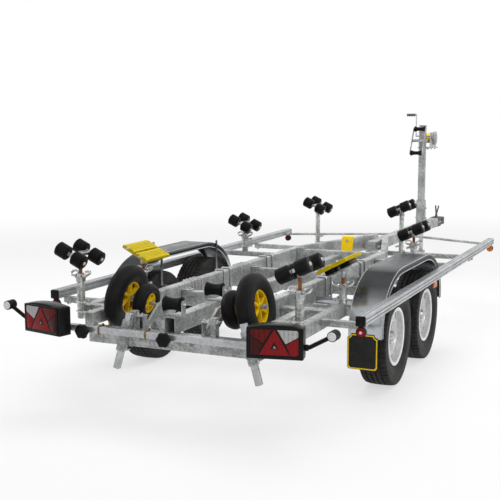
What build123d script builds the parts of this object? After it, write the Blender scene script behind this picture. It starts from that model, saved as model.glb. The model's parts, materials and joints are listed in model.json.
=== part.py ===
"""Tandem-axle boat trailer: galvanised frame, roller cradle, winch post and jockey wheel.

Frame: +X to the trailer's right, +Y towards the coupling, +Z up, millimetres.
The origin is on the ground under the middle of the overall length and width.
"""
import os
from math import cos, radians, sin, tan

from build123d import *

os.makedirs("parts", exist_ok=True)

LEFT, RIGHT = -1, 1
SIDES = {"left": LEFT, "right": RIGHT}

# Clearances
RUNNING = 0.05  # radial play of a wheel or roller on its pin
SEAT = 0.2  # gap between curved or fitted pieces that are fixed together
SLIDE_PLAY = 0.5  # play of a square leg in its sleeve, each side

# Overall length and the axles
OVERALL_LENGTH = 7060.0
TAIL_Y = -OVERALL_LENGTH / 2
NOSE_Y = OVERALL_LENGTH / 2
REAR_OVERHANG = 1560.0  # from the tail lamps' lenses to the rear axle
WHEELBASE = 786.0
REAR_AXLE_Y = TAIL_Y + REAR_OVERHANG
FRONT_AXLE_Y = REAR_AXLE_Y + WHEELBASE
HALF_TRACK = 885.0

# Road wheels
TYRE_R = 325.0
TYRE_WIDTH = 188.0
SHOULDER_IN = 12.0
SHOULDER_DROP = 14.0
BEAD_R = 178.0
BEAD_WIDTH = 140.0
FLANGE_R = 192.0
RIM_WALL = 6.0
HUB_FACE = 15.0  # the disc's seat, outboard of the wheel's middle plane
DRUM_R = 112.0
DRUM_DEPTH = 80.0
HUB_CAP_R = 38.0
HUB_CAP_LENGTH = 46.0
NAVE_R = 80.0
CROWN_R = 98.0
DISC_BACK_STEP = 9.0  # the dish's foot is this much wider at the back
DISC_RISE = 30.0  # the disc's crown, outboard of its seat
DISC_SET = 22.0  # the disc's edge in the rim, outboard of its seat
STUB_R = 20.0
VENT_COUNT = 10
VENT_R = 13.0
VENT_PITCH_R = 138.0

# Axle beams with trailing arms
AXLE_SQUARE = 80.0
AXLE_LEAD = 170.0  # the beam lies ahead of the wheel's centre
ARM_THICK = 35.0
ARM_GAP = 44.0  # from the arm to the brake drum
ARM_EYE_R = 42.0
BACKPLATE_R = 116.0
BACKPLATE_T = 8.0
SADDLE_WIDTH = 90.0
SADDLE_HEIGHT = 36.0

# Main frame
UNDERSIDE_Z = 520.0
BEAM_DEPTH = 140.0
BEAM_WIDTH = 60.0
BEAM_X = 390.0  # middle of a main beam
BEAM_TOP_Z = UNDERSIDE_Z + BEAM_DEPTH
BEAM_INNER_X = BEAM_X - BEAM_WIDTH / 2
BEAM_OUTER_X = BEAM_X + BEAM_WIDTH / 2
BEAM_TAIL = 800.0  # behind the rear axle
BEAM_REAR_Y = REAR_AXLE_Y - BEAM_TAIL
BEND_AHEAD = 864.0  # ahead of the front axle
BEND_Y = FRONT_AXLE_Y + BEND_AHEAD
DRAWBAR_WIDTH = 100.0
DRAWBAR_DEPTH = 100.0
DRAWBAR_TOP_Z = UNDERSIDE_Z + DRAWBAR_DEPTH
DRAWBAR_FROM_BEND = 900.0
DRAWBAR_REAR_Y = BEND_Y + DRAWBAR_FROM_BEND
V_RUN = 1220.0  # length of the converging beams along Y, on their middle line
V_SLOPE = (BEAM_X - DRAWBAR_WIDTH / 2) / V_RUN
KEEL_WIDTH = 70.0
KEEL_DEPTH = 100.0
KEEL_TOP_Z = UNDERSIDE_Z + KEEL_DEPTH
KEEL_TAIL = 1320.0  # behind the rear axle
KEEL_REAR_Y = REAR_AXLE_Y - KEEL_TAIL
CROSS_LENGTH = 60.0  # size of a cross member along Y
FRONT_CROSS_BACK = 90.0  # behind the bend
FRONT_CROSS_Y = BEND_Y - FRONT_CROSS_BACK
FRONT_CROSS_DEPTH = 130.0
INNER_CROSS_BEHIND = 520.0
INNER_CROSS_AHEAD = 600.0
INNER_CROSS_Y = (REAR_AXLE_Y - INNER_CROSS_BEHIND, REAR_AXLE_Y + INNER_CROSS_AHEAD)
REAR_BEAM_HALF = 560.0
REAR_BEAM_DEPTH = 100.0
REAR_BEAM_LENGTH = 60.0
REAR_BEAM_BEHIND = 1300.0
REAR_BEAM_BACK_Y = REAR_AXLE_Y - REAR_BEAM_BEHIND
REAR_BEAM_FRONT_Y = REAR_BEAM_BACK_Y + REAR_BEAM_LENGTH

# Outriggers beside the rear of the frame
OUTRIGGER_DEPTH = 80.0
OUTRIGGER_TOP_Z = UNDERSIDE_Z + OUTRIGGER_DEPTH
OUTRIGGER_WIDTH = 60.0
STRINGER_X = 560.0
OUTRIGGER_X = 722.0
OUTRIGGER_CROSS_BEHIND = 690.0
OUTRIGGER_CROSS_Y = REAR_AXLE_Y - OUTRIGGER_CROSS_BEHIND
OUTRIGGER_TIE_BEHIND = 1095.0
OUTRIGGER_TIE_Y = REAR_AXLE_Y - OUTRIGGER_TIE_BEHIND

# Posts: the column of each row is the place of the post and its heights
POST_R = 25.0
SLIM_POST_R = 20.0
SPINDLE_R = 12.0
NUT_R = 27.0
NUT_HEIGHT = 16.0
NUT_WING_SPAN = 120.0
NUT_WING_WIDTH = 14.0
NUT_WING_T = 8.0
HEAD_DROP = 48.0  # from a head's axles down to the top of its spindle
REAR_POST_BEHIND = 1141.0
REAR_POST_Y = REAR_AXLE_Y - REAR_POST_BEHIND
PAD_POST_BEHIND = 400.0
PAD_POST_Y = REAR_AXLE_Y - PAD_POST_BEHIND
MID_POST_X = 731.0
MID_POST_AHEAD = 514.0  # ahead of the front axle
MID_POST_Y = FRONT_AXLE_Y + MID_POST_AHEAD
FRONT_POST_X = 395.0
FRONT_POST_AHEAD = 1390.0
FRONT_POST_Y = FRONT_AXLE_Y + FRONT_POST_AHEAD
REAR_POST_TOP_Z = 775.0
PAD_POST_TOP_Z = 700.0
MID_POST_TOP_Z = 765.0
REAR_HEAD_Z = 921.0
MID_HEAD_Z = 883.0
FRONT_HEAD_Z = 979.0

# Roller heads
HEAD_TILT = 25.0
ROLLER_R = 45.0
ROLLER_LENGTH = 84.0
ROLLER_GAP = 38.0  # between the two rollers of an axle
ROLLER_PITCH_Y = 190.0  # between the two axles of a head
ROLLER_AXLE_R = 8.0
ROLLER_AXLE_OVERHANG = 8.0
HEAD_BAR_WIDTH = 30.0
HEAD_BAR_T = 20.0
SOCKET_R = 17.0

# Hull pads
PAD_X = 694.0
PAD_TILT = 28.0
PAD_Z = 850.0
PAD_LENGTH = 310.0
BOARD_WIDTH = 99.0
BOARD_GAP = 8.0
BOARD_T = 25.0
PAD_BLOCK_T = 30.0
PAD_BLOCK_WIDTH = 70.0
PAD_BLOCK_LENGTH = 150.0
PAD_PLATE_T = 10.0
PAD_PLATE_WIDTH = 180.0
PAD_PLATE_LENGTH = 110.0
PAD_SOCKET = 40.0

# Keel stop and its cross tube
STOP_WIDTH = 100.0
STOP_T = 30.0
STOP_BASE_Z = 560.0
STOP_HEIGHT = 185.0
STOP_RAKE = 15.0
STOP_AHEAD = 1114.0  # ahead of the front axle
STOP_TUBE_Y = FRONT_AXLE_Y + STOP_AHEAD
STOP_TUBE_SIZE = 44.0
STOP_TUBE_Z = 566.0
STOP_BRACKET_T = 40.0
STOP_BRACKET_WIDTH = 60.0

# Hull support wheels: twin wheels on an axle that falls to the middle
HULL_TILT = 10.0
HULL_BEHIND = 1080.0
HULL_Y = REAR_AXLE_Y - HULL_BEHIND
HULL_BIG_X = 432.0
HULL_BIG_Z = 668.0
HULL_BIG_R = 200.0
HULL_BIG_WIDTH = 100.0
HULL_BIG_HUB_R = 100.0
HULL_SPACING = 140.0  # along the axle
HULL_SMALL_R = 115.0
HULL_SMALL_WIDTH = 85.0
HULL_SMALL_HUB_R = 62.0
HULL_BEAD_SHARE = 0.62  # of the tyre's width
HULL_CROWN = 9.0  # the tread's rise from its edges to its middle
HULL_BOSS_R = 24.0
HULL_DISC_T = 14.0
HULL_RIM_T = 8.0
HULL_AXLE_R = 12.0
HULL_AXLE_BEYOND = 70.0  # past the big wheel's middle
HULL_CHEEK_GAP = 50.0  # from the small wheel's side to the bracket
HULL_CHEEK_T = 16.0
HULL_CARRIER_R = 26.0  # the bracket's metal around the axle

# Keel rollers on the middle beam
KEEL_ROLLER_BEHIND = {"rear": 1272.0, "front": 742.0}
KEEL_ROLLER_Y = {place: REAR_AXLE_Y - behind for place, behind in KEEL_ROLLER_BEHIND.items()}
KEEL_ROLLER_Z = 688.0
KEEL_ROLLER_R = 45.0
KEEL_ROLLER_WAIST = 34.0
KEEL_ROLLER_HALF = 56.0
KEEL_PIN_R = 8.0
KEEL_CHEEK_T = 6.0
KEEL_CHEEK_GAP = 5.0
KEEL_CHEEK_LENGTH = 44.0

# Prop stands: the column is the foot's X at rest
PROP_FOOT_X = {"left": -352.0, "right": 562.0}
PROP_FOOT_Z = 289.0
PROP_TILT = 16.0
PROP_LEG = 36.0
PROP_LEG_LENGTH = 350.0
PROP_SLEEVE = 46.0
PROP_SLEEVE_LENGTH = 190.0
PROP_SLEEVE_UP = 115.0  # the sleeve's lower end, along the leg from the foot
PROP_PLATE_T = 6.0
PROP_PLATE_WIDTH = 80.0

# Side rails and their arms
RAIL_OUTBOARD = 142.0  # from the wheels' middle plane
RAIL_X = HALF_TRACK + RAIL_OUTBOARD
RAIL_SIZE = 58.0
RAIL_Z = 622.0
RAIL_BEHIND = 990.0
RAIL_REAR_Y = REAR_AXLE_Y - RAIL_BEHIND
RAIL_AHEAD = 2239.0
RAIL_FRONT_Y = FRONT_AXLE_Y + RAIL_AHEAD
RAIL_CAP_T = 12.0
RAIL_CHAMFER = 6.0
ARM_SIZE = 40.0
REAR_ARM_BEHIND = 880.0
REAR_ARM_Y = REAR_AXLE_Y - REAR_ARM_BEHIND
BRACE_OUTER_AHEAD = 2114.0
BRACE_OUTER_Y = FRONT_AXLE_Y + BRACE_OUTER_AHEAD
BRACE_INNER_AHEAD = 2544.0
BRACE_INNER_Y = FRONT_AXLE_Y + BRACE_INNER_AHEAD
BRACE_LOW_Z = 600.0
BRACE_T = 20.0
MARKER_R = 30.0
MARKER_T = 22.0
MARKER_TAB = 6.0

# Mudguards
GUARD_INBOARD = 105.0  # from the wheels' middle plane
GUARD_INNER_X = HALF_TRACK - GUARD_INBOARD
GUARD_WIDTH = 212.0
GUARD_ABOVE = 135.0  # from the tyres' tops to the skin's outer face
GUARD_TOP_Z = 2 * TYRE_R + GUARD_ABOVE
GUARD_T = 4.0
GUARD_RUN = 500.0  # along the trailer, from an end to the flat top
GUARD_RISE = 345.0
GUARD_BEHIND = 135.0  # from the rear tyre
GUARD_REAR_Y = REAR_AXLE_Y - TYRE_R - GUARD_BEHIND
GUARD_AHEAD = 29.0  # from the front tyre
GUARD_FRONT_Y = FRONT_AXLE_Y + TYRE_R + GUARD_AHEAD
GUARD_END_Z = 400.0
GUARD_LIP = 36.0
GUARD_LIP_T = 4.0
STAY_BEHIND = 50.0
STAY_AHEAD = 54.0
STAY_Y = (REAR_AXLE_Y - STAY_BEHIND, FRONT_AXLE_Y + STAY_AHEAD)
STAY_T = 24.0
STAY_LOW_Z = 524.0
STAY_HIGH_Z = 558.0
STAY_POST = 8.0
FLAP_WIDTH = 196.0
FLAP_INBOARD = 12.0  # from the mudguard's middle plane
FLAP_TOP_Z = 426.0
FLAP_BOTTOM_Z = 202.0
FLAP_T = 6.0
FLAP_CHAMFER = 26.0

# Light bar and lamps
BAR_SIZE = 40.0
BAR_HALF = 700.0
BAR_BEHIND = 1400.0
BAR_Y = REAR_AXLE_Y - BAR_BEHIND
BAR_Z = 525.0
BAR_BRACKET_X = 160.0
BAR_BRACKET_WIDTH = 40.0
BAR_BRACKET_T = 20.0
LAMP_X = 733.0
LAMP_Z = 588.0
LAMP_TURN = 12.0
LAMP_WIDTH = 300.0
LAMP_HEIGHT = 180.0
LAMP_DEPTH = 88.0
LAMP_ARCH = 16.0
LENS_WIDTH = 262.0
LENS_HEIGHT = 145.0
LENS_T = 6.0
LENS_CORNER = 12.0
LAMP_FOOT_WIDTH = 90.0
MARKER_ARM_R = 12.0
MARKER_BOSS_R = 17.0
MARKER_BOSS_LENGTH = 22.0
MARKER_BOSS_DROP = 30.0  # below the middle of the tail lamp
MARKER_HEAD_X = 1026.0
MARKER_HEAD_BEHIND = 1440.0
MARKER_HEAD_Z = 633.0
MARKER_HEAD = (MARKER_HEAD_X, REAR_AXLE_Y - MARKER_HEAD_BEHIND, MARKER_HEAD_Z)
MARKER_HEAD_R = 28.0
MARKER_HEAD_LENGTH = 64.0
KNOB_X = (-508.0, 32.0)
KNOB_R = 44.0
KNOB_T = 46.0
KNOB_DROP = 8.0

# Winch post, bow rollers and winch
POST_SETBACK = 1040.0  # from the nose
POST_Y = NOSE_Y - POST_SETBACK
POST_SIZE = 70.0
POST_TOP_Z = 1712.0
SLEEVE_SIZE = 92.0
SLEEVE_TOP_Z = 880.0
BOW_REACH = {"upper": 130.0, "lower": 280.0}  # behind the post
BOW_HEIGHT = {"upper": 1672.0, "lower": 1413.0}
BOW_ROLLERS = {place: (POST_Y - reach, BOW_HEIGHT[place]) for place, reach in BOW_REACH.items()}
BOW_ROLLER_R = 33.0
BOW_ROLLER_WAIST = 20.0
BOW_ROLLER_HALF = 60.0
BOW_PIN_R = 8.0
BOW_BAR_GAP = 5.0
BOW_BAR_T = 6.0
BOW_BAR_WIDTH = 34.0
BOW_BRACKET_Z = 1545.0
BOW_BRACKET_T = 30.0
SHELF_Z = 1455.0
SHELF_T = 14.0
SHELF_HALF = 66.0
SHELF_LENGTH = 430.0
CHEEK_T = 6.0
CHEEK_HEIGHT = 165.0
CHEEK_AHEAD = 85.0
CHEEK_Y = POST_Y + CHEEK_AHEAD
CHEEK_LENGTH = 290.0
DRUM_AHEAD = 270.0
DRUM_Y = POST_Y + DRUM_AHEAD
DRUM_Z = 1570.0
DRUM_FLANGE_R = 66.0
STRAP_R = 54.0
DRUM_FLANGE_T = 5.0
DRUM_PLAY = 5.0  # from a drum flange to its cheek
WINCH_SHAFT_R = 9.0
CRANK_AHEAD = 160.0
CRANK_Y = POST_Y + CRANK_AHEAD
CRANK_Z = 1592.0
CRANK_SHAFT_R = 8.0
CRANK_X = -112.0
CRANK_ARM = 238.0
CRANK_ARM_T = 8.0
CRANK_ARM_WIDTH = 24.0
GRIP_R = 14.0
GRIP_LENGTH = 105.0

# Coupling and handbrake
COUPLING_LENGTH = 400.0
COUPLING_BACK_Y = NOSE_Y - COUPLING_LENGTH
HOUSING_WIDTH = 92.0
HOUSING_HEIGHT = 110.0
HOUSING_LENGTH = 190.0
HEAD_LENGTH = 150.0
HEAD_WIDTH = 84.0
HEAD_HEIGHT = 84.0
HEAD_NECK_R = 29.0
HEAD_BASE_Z = 520.0
SHAFT_R = 27.0
SOCKET_BORE_R = 25.2
SOCKET_DEPTH = 45.0
SOCKET_FROM_NOSE = 52.0
LEVER_T = 12.0
LEVER_WIDTH = 26.0
LEVER_AHEAD = 120.0
LEVER_PIVOT_Y = COUPLING_BACK_Y + LEVER_AHEAD
BRAKE_SECTOR_R = 46.0
BRAKE_LEVER = 150.0
BRAKE_LEVER_ANGLE = 38.0
HITCH_LEVER = 120.0
HITCH_LEVER_ANGLE = 112.0

# Jockey wheel on the drawbar's left side
JOCKEY_X = -132.0
JOCKEY_SETBACK = 470.0  # from the nose
JOCKEY_Y = NOSE_Y - JOCKEY_SETBACK
JOCKEY_OUTER_R = 30.0
JOCKEY_INNER_R = 25.0
JOCKEY_OUTER_LOW_Z = 470.0
JOCKEY_OUTER_TOP_Z = 860.0
JOCKEY_CAP_T = 10.0
JOCKEY_INNER_TOP_Z = 605.0
JOCKEY_CLAMP_R = 44.0
JOCKEY_CLAMP_HEIGHT = 80.0
JOCKEY_CLAMP_Z = 530.0
JOCKEY_CLAMP_WIDTH = 60.0
JOCKEY_WHEEL_R = 105.0
JOCKEY_WHEEL_WIDTH = 64.0
JOCKEY_CROWN = 11.0  # the tread's rise from its edges to its middle
JOCKEY_TRAIL = 48.0
JOCKEY_AXLE_R = 8.0
FORK_CLEAR = 10.0  # above the jockey wheel
FORK_CROWN_T = 16.0
FORK_CHEEK_T = 6.0
FORK_CHEEK_GAP = 6.0
FORK_CHEEK_WIDTH = 40.0
SWIVEL_PIN_R = 10.0
JOCKEY_HANDLE = 120.0
JOCKEY_HANDLE_R = 7.0

SKY = (0, 0, 1)


def save(builder, name):
    """Label one sub-part and write its file."""
    builder.part.label = name
    export_step(builder.part, f"parts/{name}.step")


def block(x, y, z):
    """Add a box between two limits on each axis."""
    with Locations(((x[0] + x[1]) / 2, (y[0] + y[1]) / 2, (z[0] + z[1]) / 2)):
        Box(abs(x[1] - x[0]), abs(y[1] - y[0]), abs(z[1] - z[0]))


def rod(start, end, radius):
    """Add a round bar between two points."""
    line = Vector(*end) - Vector(*start)
    middle = Vector(*start) + line * 0.5
    with Locations(Plane(origin=middle, z_dir=line)):
        Cylinder(radius, line.length)


def outline(plane, *points):
    """Return the face with straight sides through the points of a plane."""
    with BuildSketch(plane) as sketch:
        with BuildLine():
            Polyline(*points, close=True)
        make_face()
    return sketch.sketch


def wheel_plane(centre, axis):
    """Return the plane through a wheel's axis: local X along it, local Y along a radius."""
    return Plane(origin=centre, x_dir=axis, z_dir=(0, -1, 0))


def side_plane(x):
    """Return the plane at one X whose local X is +Y and whose local Y is +Z."""
    return Plane(origin=(x, 0, 0), x_dir=(0, 1, 0), z_dir=(1, 0, 0))


def both(side, near, far):
    """Return the limits along X of a piece on one side, in rising order."""
    return tuple(sorted((side * near, side * far)))


# Main beams, straight from the rear to the bend
with BuildPart() as main_beams:
    for side in SIDES.values():
        block(both(side, BEAM_INNER_X, BEAM_OUTER_X), (BEAM_REAR_Y, BEND_Y), (UNDERSIDE_Z, BEAM_TOP_Z))
save(main_beams, "main_beams")

# Converging beams from the bend to the sides of the drawbar
with BuildPart() as v_beams:
    for side in SIDES.values():
        drawbar_side = DRAWBAR_WIDTH / 2
        v_face = outline(
            Plane.XY.offset(UNDERSIDE_Z),
            (side * BEAM_OUTER_X, BEND_Y),
            (side * drawbar_side, BEND_Y + (BEAM_OUTER_X - drawbar_side) / V_SLOPE),
            (side * drawbar_side, BEND_Y + (BEAM_INNER_X - drawbar_side) / V_SLOPE),
            (side * BEAM_INNER_X, BEND_Y),
        )
        extrude(v_face, amount=BEAM_DEPTH, dir=SKY)
save(v_beams, "v_beams")

with BuildPart() as keel_beam:
    block((-KEEL_WIDTH / 2, KEEL_WIDTH / 2), (KEEL_REAR_Y, FRONT_CROSS_Y), (UNDERSIDE_Z, KEEL_TOP_Z))
save(keel_beam, "keel_beam")

with BuildPart() as rear_beam:
    block(
        (-REAR_BEAM_HALF, REAR_BEAM_HALF),
        (REAR_BEAM_BACK_Y, REAR_BEAM_FRONT_Y),
        (UNDERSIDE_Z - REAR_BEAM_DEPTH, UNDERSIDE_Z),
    )
save(rear_beam, "rear_beam")

# Cross members between the beams, and the tube that carries the keel stop
STOP_FOOT_Y = STOP_TUBE_Y - STOP_TUBE_SIZE / 2 - STOP_BRACKET_T
RAKE_RUN = tan(radians(STOP_RAKE))
with BuildPart() as cross_members:
    block(
        (-BEAM_INNER_X, BEAM_INNER_X),
        (FRONT_CROSS_Y, FRONT_CROSS_Y + CROSS_LENGTH),
        (UNDERSIDE_Z, UNDERSIDE_Z + FRONT_CROSS_DEPTH),
    )
    for side in SIDES.values():
        for cross_y in INNER_CROSS_Y:
            block(
                both(side, KEEL_WIDTH / 2, BEAM_INNER_X),
                (cross_y, cross_y + CROSS_LENGTH),
                (UNDERSIDE_Z, KEEL_TOP_Z),
            )
    tube_ends = [
        BEAM_INNER_X - V_SLOPE * (STOP_TUBE_Y + offset - BEND_Y)
        for offset in (-STOP_TUBE_SIZE / 2, STOP_TUBE_SIZE / 2)
    ]
    stop_tube = outline(
        Plane.XY.offset(STOP_TUBE_Z - STOP_TUBE_SIZE / 2),
        (-tube_ends[0], STOP_TUBE_Y - STOP_TUBE_SIZE / 2),
        (tube_ends[0], STOP_TUBE_Y - STOP_TUBE_SIZE / 2),
        (tube_ends[1], STOP_TUBE_Y + STOP_TUBE_SIZE / 2),
        (-tube_ends[1], STOP_TUBE_Y + STOP_TUBE_SIZE / 2),
    )
    extrude(stop_tube, amount=STOP_TUBE_SIZE, dir=SKY)
    bracket_z = (STOP_TUBE_Z - STOP_TUBE_SIZE / 2, STOP_TUBE_Z + STOP_TUBE_SIZE / 2)
    bracket_face = outline(
        side_plane(-STOP_BRACKET_WIDTH / 2),
        (STOP_FOOT_Y + RAKE_RUN * (bracket_z[0] - STOP_BASE_Z), bracket_z[0]),
        (STOP_TUBE_Y, bracket_z[0]),
        (STOP_TUBE_Y, bracket_z[1]),
        (STOP_FOOT_Y + RAKE_RUN * (bracket_z[1] - STOP_BASE_Z), bracket_z[1]),
    )
    extrude(bracket_face, amount=STOP_BRACKET_WIDTH)
save(cross_members, "cross_members")

# Keel stop: a raked board that the boat's forefoot meets
with BuildPart() as keel_stop:
    stop_face = outline(
        side_plane(-STOP_WIDTH / 2),
        (STOP_FOOT_Y, STOP_BASE_Z),
        (STOP_FOOT_Y + RAKE_RUN * STOP_HEIGHT, STOP_BASE_Z + STOP_HEIGHT),
        (STOP_FOOT_Y + RAKE_RUN * STOP_HEIGHT - STOP_T, STOP_BASE_Z + STOP_HEIGHT),
        (STOP_FOOT_Y - STOP_T, STOP_BASE_Z),
    )
    extrude(stop_face, amount=STOP_WIDTH)
save(keel_stop, "keel_stop")

# Outriggers: welded ladder frames beside the main beams that carry the rear posts
OUTRIGGER_INNER_X = OUTRIGGER_X - OUTRIGGER_WIDTH / 2
OUTRIGGER_OUTER_X = OUTRIGGER_X + OUTRIGGER_WIDTH / 2
STRINGER_INNER_X = STRINGER_X - OUTRIGGER_WIDTH / 2
STRINGER_OUTER_X = STRINGER_X + OUTRIGGER_WIDTH / 2
with BuildPart() as outriggers:
    level = (UNDERSIDE_Z, OUTRIGGER_TOP_Z)
    cross_front_y = OUTRIGGER_CROSS_Y + OUTRIGGER_DEPTH
    for side in SIDES.values():
        block(both(side, BEAM_OUTER_X, OUTRIGGER_INNER_X), (OUTRIGGER_CROSS_Y, cross_front_y), level)
        block(
            both(side, OUTRIGGER_INNER_X, OUTRIGGER_OUTER_X),
            (REAR_POST_Y + POST_R + SEAT, PAD_POST_Y - POST_R - SEAT),
            level,
        )
        block(both(side, STRINGER_INNER_X, STRINGER_OUTER_X), (REAR_BEAM_BACK_Y, OUTRIGGER_CROSS_Y), level)
        block(
            both(side, STRINGER_OUTER_X, OUTRIGGER_INNER_X),
            (OUTRIGGER_TIE_Y, OUTRIGGER_TIE_Y + OUTRIGGER_WIDTH),
            level,
        )
save(outriggers, "outriggers")

with BuildPart() as drawbar:
    block(
        (-DRAWBAR_WIDTH / 2, DRAWBAR_WIDTH / 2),
        (DRAWBAR_REAR_Y, COUPLING_BACK_Y),
        (UNDERSIDE_Z, DRAWBAR_TOP_Z),
    )
save(drawbar, "drawbar")

# Axles: a square beam under the frame with trailing arms, stub axles and brake backplates
DRUM_BACK_X = HALF_TRACK + HUB_FACE - DRUM_DEPTH
ARM_OUTER_X = DRUM_BACK_X - ARM_GAP
ARM_INNER_X = ARM_OUTER_X - ARM_THICK
AXLE_TOP_Z = UNDERSIDE_Z - SADDLE_HEIGHT
AXLE_MID_Z = AXLE_TOP_Z - AXLE_SQUARE / 2
STUB_END_X = HALF_TRACK + HUB_FACE
with BuildPart() as axles:
    for axle_y in (REAR_AXLE_Y, FRONT_AXLE_Y):
        beam_y = axle_y + AXLE_LEAD
        beam_span = (beam_y - AXLE_SQUARE / 2, beam_y + AXLE_SQUARE / 2)
        block((-ARM_OUTER_X, ARM_OUTER_X), beam_span, (AXLE_TOP_Z - AXLE_SQUARE, AXLE_TOP_Z))
        for side in SIDES.values():
            saddle = both(side, BEAM_X - SADDLE_WIDTH / 2, BEAM_X + SADDLE_WIDTH / 2)
            block(saddle, beam_span, (AXLE_TOP_Z, UNDERSIDE_Z))
            arm_near = both(side, ARM_INNER_X, ARM_OUTER_X)[0]
            with BuildSketch(side_plane(arm_near)) as arm_face:
                with Locations((axle_y, TYRE_R)):
                    Circle(ARM_EYE_R)
                with Locations((beam_y, AXLE_MID_Z)):
                    Circle(ARM_EYE_R)
                make_hull()
            extrude(arm_face.sketch, amount=ARM_THICK)
            rod((side * ARM_INNER_X, axle_y, TYRE_R), (side * STUB_END_X, axle_y, TYRE_R), STUB_R)
            plate_x = DRUM_BACK_X - ARM_GAP / 2
            rod(
                (side * ARM_OUTER_X, axle_y, TYRE_R),
                (side * (plate_x + BACKPLATE_T), axle_y, TYRE_R),
                ARM_EYE_R,
            )
            rod(
                (side * plate_x, axle_y, TYRE_R),
                (side * (plate_x + BACKPLATE_T), axle_y, TYRE_R),
                BACKPLATE_R,
            )
save(axles, "axles")

# Road wheels: a tyre on a pressed rim with its hub and brake drum
for wheel, wheel_y in {"rear": REAR_AXLE_Y, "front": FRONT_AXLE_Y}.items():
    for hand, side in SIDES.items():
        centre = (side * HALF_TRACK, wheel_y, TYRE_R)
        spin = Axis(centre, (side, 0, 0))
        plane = wheel_plane(centre, (side, 0, 0))
        with BuildPart() as tyre:
            with BuildSketch(plane):
                with BuildLine():
                    half_bead = BEAD_WIDTH / 2
                    half_width = TYRE_WIDTH / 2
                    shoulder = (half_width - SHOULDER_IN, TYRE_R - SHOULDER_DROP)
                    left_shoulder = (-shoulder[0], shoulder[1])
                    Line((-half_bead, FLANGE_R), (-half_bead, BEAD_R))
                    Line((-half_bead, BEAD_R), (half_bead, BEAD_R))
                    Line((half_bead, BEAD_R), (half_bead, FLANGE_R))
                    ThreePointArc((half_bead, FLANGE_R), (half_width, (FLANGE_R + TYRE_R) / 2), shoulder)
                    ThreePointArc(shoulder, (0, TYRE_R), left_shoulder)
                    ThreePointArc(
                        left_shoulder, (-half_width, (FLANGE_R + TYRE_R) / 2), (-half_bead, FLANGE_R)
                    )
                make_face()
            revolve(axis=spin)
        save(tyre, f"tyre_{wheel}_{hand}")

        with BuildPart() as rim:
            with BuildSketch(plane):
                barrel_r = BEAD_R - SEAT
                well_r = barrel_r - RIM_WALL
                edge = BEAD_WIDTH / 2 + SEAT
                with BuildLine():
                    Polyline(
                        (-edge - RIM_WALL, FLANGE_R),
                        (-edge, FLANGE_R),
                        (-edge, barrel_r),
                        (edge, barrel_r),
                        (edge, FLANGE_R),
                        (edge + RIM_WALL, FLANGE_R),
                        (edge + RIM_WALL, well_r),
                        (HUB_FACE + DISC_SET + RIM_WALL, well_r),
                        (HUB_FACE + DISC_RISE + RIM_WALL, CROWN_R),
                        (HUB_FACE + RIM_WALL, NAVE_R),
                        (HUB_FACE + RIM_WALL, HUB_CAP_R),
                        (HUB_FACE + HUB_CAP_LENGTH, HUB_CAP_R - RIM_WALL),
                        (HUB_FACE + HUB_CAP_LENGTH, 0),
                        (HUB_FACE + 2 * SEAT, 0),
                        (HUB_FACE + 2 * SEAT, STUB_R + RUNNING),
                        (HUB_FACE - DRUM_DEPTH, STUB_R + RUNNING),
                        (HUB_FACE - DRUM_DEPTH, DRUM_R),
                        (HUB_FACE, DRUM_R),
                        (HUB_FACE, NAVE_R + DISC_BACK_STEP),
                        (HUB_FACE + DISC_RISE, CROWN_R + RIM_WALL),
                        (HUB_FACE + DISC_SET, well_r),
                        (-edge - RIM_WALL, well_r),
                        close=True,
                    )
                make_face()
            revolve(axis=spin)
            seat = (side * (HALF_TRACK + HUB_FACE), wheel_y, TYRE_R)
            with BuildSketch(Plane(origin=seat, z_dir=(side, 0, 0))) as vents:
                with PolarLocations(VENT_PITCH_R, VENT_COUNT):
                    Circle(VENT_R)
            extrude(vents.sketch, amount=2 * DISC_RISE, both=True, mode=Mode.SUBTRACT)
        save(rim, f"rim_{wheel}_{hand}")

# Mudguards: a folded strip over both wheels with a lip along each edge
guard_flat = (GUARD_REAR_Y + GUARD_RUN, GUARD_FRONT_Y - GUARD_RUN)
GUARD_SPRING_Z = GUARD_TOP_Z - GUARD_RISE


def guard_profile(plane, depth):
    """Return a strip that follows the mudguard's outer face and is depth thick."""
    ends = (GUARD_REAR_Y, GUARD_FRONT_Y)
    top_z = (GUARD_TOP_Z, GUARD_TOP_Z - depth)
    corners = ((guard_flat[0], GUARD_SPRING_Z), (guard_flat[1], GUARD_SPRING_Z))
    with BuildSketch(plane) as sketch:
        with BuildLine():
            for inset, height in zip((0.0, depth), top_z):
                run = GUARD_RUN - inset
                rise = GUARD_RISE - inset
                Line((ends[0] + inset, GUARD_END_Z), (ends[0] + inset, GUARD_SPRING_Z))
                EllipticalCenterArc(corners[0], run, rise, 90, arc_size=90)
                Line((guard_flat[0], height), (guard_flat[1], height))
                EllipticalCenterArc(corners[1], run, rise, 0, arc_size=90)
                Line((ends[1] - inset, GUARD_SPRING_Z), (ends[1] - inset, GUARD_END_Z))
            Line((ends[0], GUARD_END_Z), (ends[0] + depth, GUARD_END_Z))
            Line((ends[1], GUARD_END_Z), (ends[1] - depth, GUARD_END_Z))
        make_face()
    return sketch.sketch


for hand, side in SIDES.items():
    with BuildPart() as mudguard:
        skin_x = both(side, GUARD_INNER_X, GUARD_INNER_X + GUARD_WIDTH)
        extrude(guard_profile(side_plane(skin_x[0]), GUARD_T), amount=GUARD_WIDTH)
        for lip_x in (skin_x[0], skin_x[1] - GUARD_LIP_T):
            extrude(guard_profile(side_plane(lip_x), GUARD_LIP), amount=GUARD_LIP_T)
    save(mudguard, f"mudguard_{hand}")

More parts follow.
